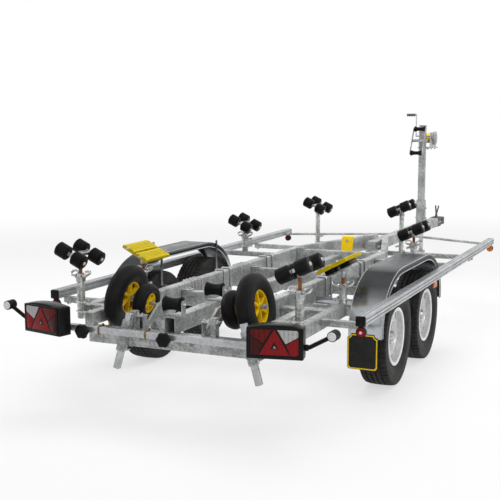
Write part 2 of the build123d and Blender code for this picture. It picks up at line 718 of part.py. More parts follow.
# Stays between the main beams and the inner lips of the mudguards
with BuildPart() as mudguard_stays:
    for side in SIDES.values():
        for stay_y in STAY_Y:
            stay_span = (stay_y - STAY_T / 2, stay_y + STAY_T / 2)
            block(both(side, BEAM_OUTER_X, GUARD_INNER_X), stay_span, (STAY_LOW_Z, STAY_HIGH_Z))
            upright = both(side, GUARD_INNER_X - STAY_POST, GUARD_INNER_X)
            block(upright, stay_span, (STAY_HIGH_Z, GUARD_TOP_Z))
save(mudguard_stays, "mudguard_stays")

# Mud flaps behind the rear wheels
with BuildPart() as mud_flaps:
    for side in SIDES.values():
        flap_x = side * (GUARD_INNER_X + GUARD_WIDTH / 2 - FLAP_INBOARD)
        flap_plane = Plane(origin=(flap_x, GUARD_REAR_Y, 0), x_dir=(1, 0, 0), z_dir=(0, -1, 0))
        half = FLAP_WIDTH / 2
        flap_face = outline(
            flap_plane,
            (-half, FLAP_BOTTOM_Z),
            (half, FLAP_BOTTOM_Z),
            (half, FLAP_TOP_Z - FLAP_CHAMFER),
            (half - FLAP_CHAMFER, FLAP_TOP_Z),
            (FLAP_CHAMFER - half, FLAP_TOP_Z),
            (-half, FLAP_TOP_Z - FLAP_CHAMFER),
        )
        extrude(flap_face, amount=FLAP_T)
save(mud_flaps, "mud_flaps")

# Side rails with their end caps and hanging markers
RAIL_LOW_Z = RAIL_Z - RAIL_SIZE / 2
RAIL_INNER_X = RAIL_X - RAIL_SIZE / 2
with BuildPart() as side_rails:
    for side in SIDES.values():
        block(
            both(side, RAIL_INNER_X, RAIL_X + RAIL_SIZE / 2),
            (RAIL_REAR_Y, RAIL_FRONT_Y),
            (RAIL_LOW_Z, RAIL_Z + RAIL_SIZE / 2),
        )
    chamfer(side_rails.edges().filter_by(Axis.Y), RAIL_CHAMFER)
save(side_rails, "side_rails")

with BuildPart() as rail_caps:
    for side in SIDES.values():
        for cap_y in (RAIL_REAR_Y - RAIL_CAP_T, RAIL_FRONT_Y):
            block(
                both(side, RAIL_INNER_X, RAIL_X + RAIL_SIZE / 2),
                (cap_y, cap_y + RAIL_CAP_T),
                (RAIL_LOW_Z, RAIL_Z + RAIL_SIZE / 2),
            )
    chamfer(rail_caps.edges().filter_by(Axis.Y), RAIL_CHAMFER)
save(rail_caps, "rail_caps")

with BuildPart() as rail_markers:
    for side in SIDES.values():
        for marker_y in (RAIL_REAR_Y + MARKER_T / 2, RAIL_FRONT_Y - MARKER_T / 2):
            marker_z = RAIL_LOW_Z - MARKER_TAB - MARKER_R
            with Locations(Plane(origin=(side * RAIL_X, marker_y, marker_z), z_dir=(0, 1, 0))):
                Cylinder(MARKER_R, MARKER_T)
            block(
                (side * RAIL_X - MARKER_R / 2, side * RAIL_X + MARKER_R / 2),
                (marker_y - MARKER_T / 2, marker_y + MARKER_T / 2),
                (marker_z, RAIL_LOW_Z),
            )
save(rail_markers, "rail_markers")

# Arms that carry the rails: rear, middle and front on each side, and the front braces
MID_ARM_TOP_Z = RAIL_Z + ARM_SIZE / 2
FRONT_ARM_TOP_Z = RAIL_LOW_Z
FRONT_POST_TOP_Z = FRONT_HEAD_Z - HEAD_DROP
with BuildPart() as rail_arms:
    for side in SIDES.values():
        low_level = (RAIL_LOW_Z - ARM_SIZE, RAIL_LOW_Z)
        block(
            both(side, OUTRIGGER_OUTER_X, RAIL_X),
            (REAR_ARM_Y - ARM_SIZE / 2, REAR_ARM_Y + ARM_SIZE / 2),
            low_level,
        )
        block(
            both(side, BEAM_OUTER_X, RAIL_INNER_X),
            (MID_POST_Y - ARM_SIZE / 2, MID_POST_Y + ARM_SIZE / 2),
            (MID_ARM_TOP_Z - ARM_SIZE, MID_ARM_TOP_Z),
        )
        front_y = (FRONT_POST_Y - ARM_SIZE / 2, FRONT_POST_Y + ARM_SIZE / 2)
        front_arm = outline(
            Plane.XY.offset(low_level[0]),
            (side * (BEAM_OUTER_X - V_SLOPE * (front_y[0] - BEND_Y)), front_y[0]),
            (side * RAIL_X, front_y[0]),
            (side * RAIL_X, front_y[1]),
            (side * (BEAM_OUTER_X - V_SLOPE * (front_y[1] - BEND_Y)), front_y[1]),
        )
        extrude(front_arm, amount=ARM_SIZE, dir=SKY)
        brace_half = ARM_SIZE / 2
        brace = outline(
            Plane.XY.offset(BRACE_LOW_Z),
            (side * RAIL_INNER_X, BRACE_OUTER_Y - brace_half),
            (side * DRAWBAR_WIDTH / 2, BRACE_INNER_Y - brace_half),
            (side * DRAWBAR_WIDTH / 2, BRACE_INNER_Y + brace_half),
            (side * RAIL_INNER_X, BRACE_OUTER_Y + brace_half),
        )
        extrude(brace, amount=BRACE_T, dir=SKY)
save(rail_arms, "rail_arms")

# Posts: each row gives X, Y, foot Z, top Z, tube radius and the Z of the head's axles
POST_ROWS = {
    "rear": (OUTRIGGER_X, REAR_POST_Y, UNDERSIDE_Z, REAR_POST_TOP_Z, POST_R, REAR_HEAD_Z),
    "mid": (MID_POST_X, MID_POST_Y, MID_ARM_TOP_Z, MID_POST_TOP_Z, POST_R, MID_HEAD_Z),
    "front": (FRONT_POST_X, FRONT_POST_Y, FRONT_ARM_TOP_Z, FRONT_POST_TOP_Z, SLIM_POST_R, FRONT_HEAD_Z),
}
PAD_STACK = BOARD_T / 2 + PAD_BLOCK_T + PAD_PLATE_T
PAD_PLATE_DROP = PAD_STACK - PAD_PLATE_T / 2
PAD_SLOPE = tan(radians(PAD_TILT))
# Height of the pad plate's middle above the post, less the socket's own slope
PAD_SOCKET_TOP_Z = (
    PAD_Z - PAD_PLATE_DROP / cos(radians(PAD_TILT)) - PAD_SLOPE * (PAD_X - OUTRIGGER_X + SOCKET_R)
)
PAD_SPINDLE_TOP_Z = PAD_SOCKET_TOP_Z - PAD_SOCKET
SPINDLE_ROWS = {
    "rear": (OUTRIGGER_X, REAR_POST_Y, REAR_POST_TOP_Z, REAR_HEAD_Z - HEAD_DROP),
    "mid": (MID_POST_X, MID_POST_Y, MID_POST_TOP_Z, MID_HEAD_Z - HEAD_DROP),
    "pad": (OUTRIGGER_X, PAD_POST_Y, PAD_POST_TOP_Z, PAD_SPINDLE_TOP_Z),
}
with BuildPart() as posts:
    for side in SIDES.values():
        for post_x, post_y, foot_z, top_z, tube_r, head_z in POST_ROWS.values():
            rod((side * post_x, post_y, foot_z), (side * post_x, post_y, top_z), tube_r)
        rod(
            (side * OUTRIGGER_X, PAD_POST_Y, UNDERSIDE_Z),
            (side * OUTRIGGER_X, PAD_POST_Y, PAD_POST_TOP_Z),
            POST_R,
        )
save(posts, "posts")

# Threaded spindles with their wing nuts
with BuildPart() as spindles:
    for side in SIDES.values():
        for post_x, post_y, low_z, top_z in SPINDLE_ROWS.values():
            rod((side * post_x, post_y, low_z), (side * post_x, post_y, top_z), SPINDLE_R)
            rod((side * post_x, post_y, low_z), (side * post_x, post_y, low_z + NUT_HEIGHT), NUT_R)
            block(
                (side * post_x - NUT_WING_SPAN / 2, side * post_x + NUT_WING_SPAN / 2),
                (post_y - NUT_WING_WIDTH / 2, post_y + NUT_WING_WIDTH / 2),
                (low_z + NUT_HEIGHT - NUT_WING_T, low_z + NUT_HEIGHT),
            )
save(spindles, "spindles")


def tilted(x, y, z, side, tilt):
    """Return the plane of a head or pad whose inner edge is the lower one."""
    angle = radians(side * tilt)
    return Plane(
        origin=(side * x, y, z),
        x_dir=(cos(angle), 0, sin(angle)),
        z_dir=(-sin(angle), 0, cos(angle)),
    )


# Frames of the roller heads, and the plates under the hull pads
AXLE_HALF = ROLLER_GAP / 2 + ROLLER_LENGTH + ROLLER_AXLE_OVERHANG
with BuildPart() as roller_frames:
    for side in SIDES.values():
        for post_x, post_y, foot_z, top_z, tube_r, head_z in POST_ROWS.values():
            head = tilted(post_x, post_y, head_z, side, HEAD_TILT)
            with Locations(head):
                Box(HEAD_BAR_WIDTH, ROLLER_PITCH_Y + HEAD_BAR_T, HEAD_BAR_T)
                with Locations((0, -ROLLER_PITCH_Y / 2, 0), (0, ROLLER_PITCH_Y / 2, 0)):
                    Cylinder(ROLLER_AXLE_R, 2 * AXLE_HALF, rotation=(0, 90, 0))
            rod((side * post_x, post_y, head_z - HEAD_DROP), (side * post_x, post_y, head_z), SOCKET_R)
        pad = tilted(PAD_X, PAD_POST_Y, PAD_Z, side, PAD_TILT)
        with Locations(pad.offset(-PAD_PLATE_DROP)):
            Box(PAD_PLATE_WIDTH, PAD_PLATE_LENGTH, PAD_PLATE_T)
        rod(
            (side * OUTRIGGER_X, PAD_POST_Y, PAD_SPINDLE_TOP_Z),
            (side * OUTRIGGER_X, PAD_POST_Y, PAD_SOCKET_TOP_Z),
            SOCKET_R,
        )
save(roller_frames, "roller_frames")

with BuildPart() as head_rollers:
    roller_middle = ROLLER_GAP / 2 + ROLLER_LENGTH / 2
    for side in SIDES.values():
        for post_x, post_y, foot_z, top_z, tube_r, head_z in POST_ROWS.values():
            with Locations(tilted(post_x, post_y, head_z, side, HEAD_TILT)):
                with GridLocations(2 * roller_middle, ROLLER_PITCH_Y, 2, 2):
                    Cylinder(ROLLER_R, ROLLER_LENGTH, rotation=(0, 90, 0))
                    Cylinder(ROLLER_AXLE_R + SEAT, ROLLER_LENGTH, rotation=(0, 90, 0), mode=Mode.SUBTRACT)
save(head_rollers, "head_rollers")

# Hull pads: two boards on two blocks on each side
board_pitch = BOARD_WIDTH + BOARD_GAP
with BuildPart() as pad_boards:
    for side in SIDES.values():
        with Locations(tilted(PAD_X, PAD_POST_Y, PAD_Z, side, PAD_TILT)):
            with GridLocations(board_pitch, 1, 2, 1):
                Box(BOARD_WIDTH, PAD_LENGTH, BOARD_T)
save(pad_boards, "pad_boards")

with BuildPart() as pad_blocks:
    for side in SIDES.values():
        pad = tilted(PAD_X, PAD_POST_Y, PAD_Z, side, PAD_TILT)
        with Locations(pad.offset(-BOARD_T / 2 - PAD_BLOCK_T / 2)):
            with GridLocations(board_pitch, 1, 2, 1):
                Box(PAD_BLOCK_WIDTH, PAD_BLOCK_LENGTH, PAD_BLOCK_T)
save(pad_blocks, "pad_blocks")

# Hull support wheels: a large and a small tyre on one falling axle each side
HULL_DIRECTION = {
    hand: (side * cos(radians(HULL_TILT)), 0, sin(radians(HULL_TILT)))
    for hand, side in SIDES.items()
}
# Columns: place along the axle from the big wheel, tyre radius, tyre width, hub radius
HULL_WHEELS = (
    (0.0, HULL_BIG_R, HULL_BIG_WIDTH, HULL_BIG_HUB_R),
    (-HULL_SPACING, HULL_SMALL_R, HULL_SMALL_WIDTH, HULL_SMALL_HUB_R),
)
for hand, side in SIDES.items():
    hull_centre = Vector(side * HULL_BIG_X, HULL_Y, HULL_BIG_Z)
    hull_axis = Vector(*HULL_DIRECTION[hand])
    with BuildPart() as hull_tyres:
        for place, radius, width, hub_r in HULL_WHEELS:
            wheel_centre = hull_centre + hull_axis * place
            with BuildSketch(wheel_plane(wheel_centre, hull_axis)) as section:
                with BuildLine():
                    half = width / 2
                    bead = half * HULL_BEAD_SHARE
                    bead_r = hub_r + SEAT
                    tread_r = radius - HULL_CROWN
                    middle_r = (hub_r + radius) / 2
                    Line((-bead, bead_r), (bead, bead_r))
                    ThreePointArc((bead, bead_r), (half, middle_r), (bead, tread_r))
                    ThreePointArc((bead, tread_r), (0, radius), (-bead, tread_r))
                    ThreePointArc((-bead, tread_r), (-half, middle_r), (-bead, bead_r))
                make_face()
            revolve(section.sketch, axis=Axis(wheel_centre, hull_axis))
    save(hull_tyres, f"hull_tyres_{hand}")

    with BuildPart() as hull_hubs:
        for place, radius, width, hub_r in HULL_WHEELS:
            wheel_centre = hull_centre + hull_axis * place
            bead = width / 2 * HULL_BEAD_SHARE
            with BuildSketch(wheel_plane(wheel_centre, hull_axis)) as section:
                with BuildLine():
                    Polyline(
                        (-bead, hub_r),
                        (bead, hub_r),
                        (bead, hub_r - HULL_RIM_T),
                        (HULL_DISC_T / 2, hub_r - HULL_RIM_T),
                        (HULL_DISC_T / 2, HULL_BOSS_R),
                        (bead, HULL_BOSS_R),
                        (bead, HULL_AXLE_R + RUNNING),
                        (-bead, HULL_AXLE_R + RUNNING),
                        (-bead, HULL_BOSS_R),
                        (-HULL_DISC_T / 2, HULL_BOSS_R),
                        (-HULL_DISC_T / 2, hub_r - HULL_RIM_T),
                        (-bead, hub_r - HULL_RIM_T),
                        close=True,
                    )
                make_face()
            revolve(section.sketch, axis=Axis(wheel_centre, hull_axis))
    save(hull_hubs, f"hull_hubs_{hand}")

# Brackets at the rear: hull axles, keel roller forks, prop sleeves and light bar shelves
PROP_DIRECTION = {
    hand: Vector(side * sin(radians(PROP_TILT)), 0, -cos(radians(PROP_TILT)))
    for hand, side in SIDES.items()
}
PROP_Y = REAR_BEAM_BACK_Y - PROP_PLATE_T - PROP_SLEEVE / 2
PROP_FOOT = {hand: Vector(PROP_FOOT_X[hand], PROP_Y, PROP_FOOT_Z) for hand in SIDES}
KEEL_FORK_HALF = KEEL_ROLLER_HALF + KEEL_CHEEK_GAP + KEEL_CHEEK_T


def prop_plane(hand, along):
    """Return the plane across a prop stand at a distance up from its foot at rest."""
    down = PROP_DIRECTION[hand]
    return Plane(origin=PROP_FOOT[hand] - down * along, x_dir=(0, 1, 0), z_dir=down)


with BuildPart() as rear_brackets:
    for hand, side in SIDES.items():
        hull_centre = Vector(side * HULL_BIG_X, HULL_Y, HULL_BIG_Z)
        hull_axis = Vector(*HULL_DIRECTION[hand])
        cheek_reach = HULL_SPACING + HULL_SMALL_WIDTH / 2 + HULL_CHEEK_GAP
        axle_root = hull_centre - hull_axis * (cheek_reach + HULL_CHEEK_T)
        axle_tip = hull_centre + hull_axis * HULL_AXLE_BEYOND
        rod(tuple(axle_root), tuple(axle_tip), HULL_AXLE_R)
        cheek_x = sorted((axle_root.X, axle_root.X + side * HULL_CHEEK_T))
        cheek = outline(
            side_plane(cheek_x[0]),
            (REAR_BEAM_BACK_Y, UNDERSIDE_Z),
            (REAR_BEAM_FRONT_Y, UNDERSIDE_Z),
            (HULL_Y + HULL_CARRIER_R, axle_root.Z - HULL_CARRIER_R),
            (HULL_Y + HULL_CARRIER_R, axle_root.Z + HULL_CARRIER_R),
            (HULL_Y - HULL_CARRIER_R, axle_root.Z + HULL_CARRIER_R),
        )
        extrude(cheek, amount=HULL_CHEEK_T)

        with Locations(prop_plane(hand, PROP_SLEEVE_UP + PROP_SLEEVE_LENGTH / 2)):
            Box(PROP_SLEEVE, PROP_SLEEVE, PROP_SLEEVE_LENGTH)
        beam_mid_z = UNDERSIDE_Z - REAR_BEAM_DEPTH / 2
        plate_mid_x = PROP_FOOT_X[hand] - side * tan(radians(PROP_TILT)) * (beam_mid_z - PROP_FOOT_Z)
        block(
            (plate_mid_x - PROP_PLATE_WIDTH / 2, plate_mid_x + PROP_PLATE_WIDTH / 2),
            (REAR_BEAM_BACK_Y - PROP_PLATE_T, REAR_BEAM_BACK_Y),
            (UNDERSIDE_Z - REAR_BEAM_DEPTH, UNDERSIDE_Z),
        )
        with Locations(prop_plane(hand, PROP_SLEEVE_UP + PROP_SLEEVE_LENGTH / 2)):
            bore = PROP_LEG + 2 * SLIDE_PLAY
            Box(bore, bore, PROP_SLEEVE_LENGTH, mode=Mode.SUBTRACT)

        block(
            (side * BAR_BRACKET_X - BAR_BRACKET_WIDTH / 2, side * BAR_BRACKET_X + BAR_BRACKET_WIDTH / 2),
            (BAR_Y - BAR_SIZE / 2, REAR_BEAM_BACK_Y),
            (BAR_Z - BAR_SIZE / 2 - BAR_BRACKET_T, BAR_Z - BAR_SIZE / 2),
        )
    for roller_y in KEEL_ROLLER_Y.values():
        fork_y = (roller_y - KEEL_CHEEK_LENGTH / 2, roller_y + KEEL_CHEEK_LENGTH / 2)
        block((-KEEL_FORK_HALF, KEEL_FORK_HALF), fork_y, (KEEL_TOP_Z, KEEL_TOP_Z + KEEL_CHEEK_T))
        for side in SIDES.values():
            block(
                both(side, KEEL_FORK_HALF - KEEL_CHEEK_T, KEEL_FORK_HALF),
                fork_y,
                (KEEL_TOP_Z, KEEL_ROLLER_Z + KEEL_CHEEK_LENGTH / 2),
            )
        pin_ends = [(side * KEEL_FORK_HALF, roller_y, KEEL_ROLLER_Z) for side in SIDES.values()]
        rod(*pin_ends, KEEL_PIN_R)
save(rear_brackets, "rear_brackets")

# Keel rollers, waisted to take the keel
for place, roller_y in KEEL_ROLLER_Y.items():
    roller_centre = (0, roller_y, KEEL_ROLLER_Z)
    with BuildPart() as keel_roller:
        with BuildSketch(wheel_plane(roller_centre, (1, 0, 0))):
            with BuildLine():
                Line((-KEEL_ROLLER_HALF, KEEL_PIN_R + RUNNING), (-KEEL_ROLLER_HALF, KEEL_ROLLER_R))
                ThreePointArc(
                    (-KEEL_ROLLER_HALF, KEEL_ROLLER_R),
                    (0, KEEL_ROLLER_WAIST),
                    (KEEL_ROLLER_HALF, KEEL_ROLLER_R),
                )
                Line((KEEL_ROLLER_HALF, KEEL_ROLLER_R), (KEEL_ROLLER_HALF, KEEL_PIN_R + RUNNING))
                Line((KEEL_ROLLER_HALF, KEEL_PIN_R + RUNNING), (-KEEL_ROLLER_HALF, KEEL_PIN_R + RUNNING))
            make_face()
        revolve(axis=Axis(roller_centre, (1, 0, 0)))
    save(keel_roller, f"keel_roller_{place}")

# Prop stand legs in their sleeves
for hand in SIDES:
    with BuildPart() as prop_leg:
        with Locations(prop_plane(hand, PROP_LEG_LENGTH / 2)):
            Box(PROP_LEG, PROP_LEG, PROP_LEG_LENGTH)
    save(prop_leg, f"prop_leg_{hand}")

# Light bar with two round knobs
with BuildPart() as light_bar:
    block(
        (-BAR_HALF, BAR_HALF),
        (BAR_Y - BAR_SIZE / 2, BAR_Y + BAR_SIZE / 2),
        (BAR_Z - BAR_SIZE / 2, BAR_Z + BAR_SIZE / 2),
    )
save(light_bar, "light_bar")

BAR_BACK_Y = BAR_Y - BAR_SIZE / 2
with BuildPart() as bar_knobs:
    for knob_x in KNOB_X:
        knob_z = BAR_Z - KNOB_DROP
        rod((knob_x, BAR_BACK_Y - KNOB_T, knob_z), (knob_x, BAR_BACK_Y, knob_z), KNOB_R)
save(bar_knobs, "bar_knobs")

# Tail lamps: housings with an arched top, turned outwards, on feet that meet the light bar
TURN = radians(LAMP_TURN)
LAMP_FACE_Y = TAIL_Y + LENS_WIDTH / 2 * sin(TURN) + LENS_T * cos(TURN)


def lamp_plane(side):
    """Return the plane of a lamp's face: local X to the right, local Y up, normal to the rear."""
    return Plane(
        origin=(side * LAMP_X, LAMP_FACE_Y, LAMP_Z),
        x_dir=(cos(TURN), side * sin(TURN), 0),
        z_dir=(side * sin(TURN), -cos(TURN), 0),
    )


with BuildPart() as lamp_housings:
    for side in SIDES.values():
        with BuildSketch(lamp_plane(side)) as face:
            half = LAMP_WIDTH / 2
            low = -LAMP_HEIGHT / 2
            high = LAMP_HEIGHT / 2 - LAMP_ARCH
            with BuildLine():
                Polyline((-half, high), (-half, low), (half, low), (half, high))
                ThreePointArc((half, high), (0, high + LAMP_ARCH), (-half, high))
            make_face()
        extrude(face.sketch, amount=-LAMP_DEPTH)
        foot_x = (BAR_HALF - LAMP_FOOT_WIDTH, BAR_HALF)
        back = [
            LAMP_FACE_Y + LAMP_DEPTH / cos(TURN) / 2 + tan(TURN) * (x - LAMP_X)
            for x in foot_x
        ]
        foot_face = outline(
            Plane.XY.offset(BAR_Z - BAR_SIZE / 2),
            (side * foot_x[0], back[0]),
            (side * foot_x[1], back[1]),
            (side * foot_x[1], BAR_BACK_Y),
            (side * foot_x[0], BAR_BACK_Y),
        )
        extrude(foot_face, amount=BAR_SIZE, dir=SKY)
save(lamp_housings, "lamp_housings")

with BuildPart() as lamp_lenses:
    for side in SIDES.values():
        with BuildSketch(lamp_plane(side)) as lens_face:
            RectangleRounded(LENS_WIDTH, LENS_HEIGHT, LENS_CORNER)
        extrude(lens_face.sketch, amount=LENS_T)
save(lamp_lenses, "lamp_lenses")

# Rubber arms with width marker lamps, from the outer sides of the tail lamps
with BuildPart() as marker_arms:
    for side in SIDES.values():
        lamp_side = lamp_plane(side)
        root = lamp_side.from_local_coords((side * LAMP_WIDTH / 2, -MARKER_BOSS_DROP, -LAMP_DEPTH / 2))
        start = tuple(root + lamp_side.x_dir * (side * MARKER_BOSS_LENGTH))
        end = (side * MARKER_HEAD[0], MARKER_HEAD[1], MARKER_HEAD[2])
        rod(tuple(root), start, MARKER_BOSS_R)
        rod(start, end, MARKER_ARM_R)
        with Locations(Plane(origin=end, z_dir=(0, 1, 0))):
            Cylinder(MARKER_HEAD_R, MARKER_HEAD_LENGTH)
save(marker_arms, "marker_arms")

# Winch post with its wider lower sleeve
with BuildPart() as winch_post:
    for size, top_z in ((POST_SIZE, POST_TOP_Z), (SLEEVE_SIZE, SLEEVE_TOP_Z)):
        block((-size / 2, size / 2), (POST_Y - size / 2, POST_Y + size / 2), (DRAWBAR_TOP_Z, top_z))
save(winch_post, "winch_post")

# Bow frame: two bars that hold the upper and lower rollers behind the post
BOW_BAR_X = BOW_ROLLER_HALF + BOW_BAR_GAP
POST_BACK_Y = POST_Y - POST_SIZE / 2
with BuildPart() as bow_frame:
    for side in SIDES.values():
        bar_x = both(side, BOW_BAR_X, BOW_BAR_X + BOW_BAR_T)
        with BuildSketch(side_plane(bar_x[0])) as bar_face:
            with Locations(*BOW_ROLLERS.values()):
                Circle(BOW_BAR_WIDTH / 2)
            make_hull()
        extrude(bar_face.sketch, amount=BOW_BAR_T)
    for roller_y, roller_z in BOW_ROLLERS.values():
        reach = BOW_BAR_X + BOW_BAR_T
        rod((-reach, roller_y, roller_z), (reach, roller_y, roller_z), BOW_PIN_R)
    mean_y = sum(roller_y for roller_y, roller_z in BOW_ROLLERS.values()) / len(BOW_ROLLERS)
    block(
        (-BOW_BAR_X, BOW_BAR_X),
        (mean_y, POST_BACK_Y),
        (BOW_BRACKET_Z - BOW_BRACKET_T / 2, BOW_BRACKET_Z + BOW_BRACKET_T / 2),
    )
save(bow_frame, "bow_frame")

for place, (roller_y, roller_z) in BOW_ROLLERS.items():
    roller_centre = (0, roller_y, roller_z)
    with BuildPart() as bow_roller:
        with BuildSketch(wheel_plane(roller_centre, (1, 0, 0))):
            with BuildLine():
                Line((-BOW_ROLLER_HALF, BOW_PIN_R + RUNNING), (-BOW_ROLLER_HALF, BOW_ROLLER_R))
                ThreePointArc(
                    (-BOW_ROLLER_HALF, BOW_ROLLER_R),
                    (0, BOW_ROLLER_WAIST),
                    (BOW_ROLLER_HALF, BOW_ROLLER_R),
                )
                Line((BOW_ROLLER_HALF, BOW_ROLLER_R), (BOW_ROLLER_HALF, BOW_PIN_R + RUNNING))
                Line((BOW_ROLLER_HALF, BOW_PIN_R + RUNNING), (-BOW_ROLLER_HALF, BOW_PIN_R + RUNNING))
            make_face()
        revolve(axis=Axis(roller_centre, (1, 0, 0)))
    save(bow_roller, f"bow_roller_{place}")

# Winch: a shelf with two cheeks, the strap drum and the crank
CHEEK_INNER_X = SHELF_HALF - CHEEK_T
SHELF_TOP_Z = SHELF_Z + SHELF_T
with BuildPart() as winch_frame:
    post_front = POST_Y + POST_SIZE / 2
    block((-SHELF_HALF, SHELF_HALF), (post_front, post_front + SHELF_LENGTH), (SHELF_Z, SHELF_TOP_Z))
    for side in SIDES.values():
        block(
            both(side, CHEEK_INNER_X, SHELF_HALF),
            (CHEEK_Y, CHEEK_Y + CHEEK_LENGTH),
            (SHELF_TOP_Z, SHELF_TOP_Z + CHEEK_HEIGHT),
        )
    for shaft_y, shaft_z, shaft_r in ((DRUM_Y, DRUM_Z, WINCH_SHAFT_R), (CRANK_Y, CRANK_Z, CRANK_SHAFT_R)):
        with Locations(Plane(origin=(0, shaft_y, shaft_z), z_dir=(1, 0, 0))):
            Cylinder(shaft_r + RUNNING, 2 * (SHELF_HALF + CHEEK_T), mode=Mode.SUBTRACT)
save(winch_frame, "winch_frame")

with BuildPart() as winch_drum:
    drum_half = CHEEK_INNER_X - DRUM_PLAY
    rod((-SHELF_HALF, DRUM_Y, DRUM_Z), (SHELF_HALF, DRUM_Y, DRUM_Z), WINCH_SHAFT_R)
    rod((-drum_half, DRUM_Y, DRUM_Z), (drum_half, DRUM_Y, DRUM_Z), STRAP_R)
    for side in SIDES.values():
        flange_ends = [(side * x, DRUM_Y, DRUM_Z) for x in (drum_half, drum_half - DRUM_FLANGE_T)]
        rod(*flange_ends, DRUM_FLANGE_R)
save(winch_drum, "winch_drum")

with BuildPart() as winch_crank:
    rod((SHELF_HALF, CRANK_Y, CRANK_Z), (CRANK_X - CRANK_ARM_T, CRANK_Y, CRANK_Z), CRANK_SHAFT_R)
    with BuildSketch(side_plane(CRANK_X - CRANK_ARM_T)) as arm_face:
        with Locations((CRANK_Y, CRANK_Z), (CRANK_Y, CRANK_Z + CRANK_ARM)):
            Circle(CRANK_ARM_WIDTH / 2)
        make_hull()
    extrude(arm_face.sketch, amount=CRANK_ARM_T)
    grip_x = CRANK_X - CRANK_ARM_T
    grip_z = CRANK_Z + CRANK_ARM
    rod((grip_x, CRANK_Y, grip_z), (grip_x - GRIP_LENGTH, CRANK_Y, grip_z), GRIP_R)
save(winch_crank, "winch_crank")

# Overrun coupling: a housing on the drawbar's end, a shaft and a head with the ball's socket
HOUSING_MID_Z = (UNDERSIDE_Z + DRAWBAR_TOP_Z) / 2
HOUSING_TOP_Z = HOUSING_MID_Z + HOUSING_HEIGHT / 2
with BuildPart() as coupling:
    block(
        (-HOUSING_WIDTH / 2, HOUSING_WIDTH / 2),
        (COUPLING_BACK_Y, COUPLING_BACK_Y + HOUSING_LENGTH),
        (HOUSING_MID_Z - HOUSING_HEIGHT / 2, HOUSING_TOP_Z),
    )
    rod((0, COUPLING_BACK_Y, HOUSING_MID_Z), (0, NOSE_Y - HEAD_LENGTH / 2, HOUSING_MID_Z), SHAFT_R)
    with BuildSketch(Plane.XY.offset(HEAD_BASE_Z)) as head_face:
        with Locations((0, NOSE_Y - HEAD_LENGTH)):
            Circle(HEAD_NECK_R)
        with Locations((0, NOSE_Y - HEAD_WIDTH / 2)):
            Circle(HEAD_WIDTH / 2)
        make_hull()
    extrude(head_face.sketch, amount=HEAD_HEIGHT)
    with Locations((0, NOSE_Y - SOCKET_FROM_NOSE, HEAD_BASE_Z + SOCKET_DEPTH / 2)):
        Cylinder(SOCKET_BORE_R, SOCKET_DEPTH, mode=Mode.SUBTRACT)
save(coupling, "coupling")

# Handbrake: a toothed sector with its lever, and the coupling's own lever
with BuildPart() as handbrake:
    with BuildSketch(side_plane(-LEVER_T / 2)) as brake_face:
        with BuildLine():
            sector = (LEVER_PIVOT_Y - BRAKE_SECTOR_R, LEVER_PIVOT_Y + BRAKE_SECTOR_R)
            Line((sector[0], HOUSING_TOP_Z), (sector[1], HOUSING_TOP_Z))
            ThreePointArc(
                (sector[1], HOUSING_TOP_Z),
                (LEVER_PIVOT_Y, HOUSING_TOP_Z + BRAKE_SECTOR_R),
                (sector[0], HOUSING_TOP_Z),
            )
        make_face()
    extrude(brake_face.sketch, amount=LEVER_T)
    for length, angle in ((BRAKE_LEVER, BRAKE_LEVER_ANGLE), (HITCH_LEVER, HITCH_LEVER_ANGLE)):
        lever_dir = Vector(0, cos(radians(angle)), sin(radians(angle)))
        lever_mid = Vector(0, LEVER_PIVOT_Y, HOUSING_TOP_Z + LEVER_WIDTH) + lever_dir * (length / 2)
        with Locations(Plane(origin=lever_mid, x_dir=(1, 0, 0), z_dir=lever_dir)):
            Box(LEVER_T, LEVER_WIDTH, length)
save(handbrake, "handbrake")

# Jockey wheel: clamp and outer tube, sliding inner tube, castor fork and wheel
DRAWBAR_SIDE_X = -DRAWBAR_WIDTH / 2
with BuildPart() as jockey_clamp:
    rod((JOCKEY_X, JOCKEY_Y, JOCKEY_OUTER_LOW_Z), (JOCKEY_X, JOCKEY_Y, JOCKEY_OUTER_TOP_Z), JOCKEY_OUTER_R)
    clamp_z = (JOCKEY_CLAMP_Z, JOCKEY_CLAMP_Z + JOCKEY_CLAMP_HEIGHT)
    rod((JOCKEY_X, JOCKEY_Y, clamp_z[0]), (JOCKEY_X, JOCKEY_Y, clamp_z[1]), JOCKEY_CLAMP_R)
    block(
        (JOCKEY_X, DRAWBAR_SIDE_X),
        (JOCKEY_Y - JOCKEY_CLAMP_WIDTH / 2, JOCKEY_Y + JOCKEY_CLAMP_WIDTH / 2),
        clamp_z,
    )
    handle_z = JOCKEY_OUTER_TOP_Z + 2 * JOCKEY_HANDLE_R
    rod((JOCKEY_X, JOCKEY_Y, JOCKEY_OUTER_TOP_Z), (JOCKEY_X, JOCKEY_Y, handle_z), JOCKEY_HANDLE_R)
    rod((JOCKEY_X, JOCKEY_Y, handle_z), (JOCKEY_X, JOCKEY_Y + JOCKEY_HANDLE, handle_z), JOCKEY_HANDLE_R)
    cavity_top = JOCKEY_OUTER_TOP_Z - JOCKEY_CAP_T
    cavity = cavity_top - JOCKEY_OUTER_LOW_Z
    with Locations((JOCKEY_X, JOCKEY_Y, JOCKEY_OUTER_LOW_Z + cavity / 2)):
        Cylinder(JOCKEY_INNER_R + RUNNING, cavity, mode=Mode.SUBTRACT)
save(jockey_clamp, "jockey_clamp")

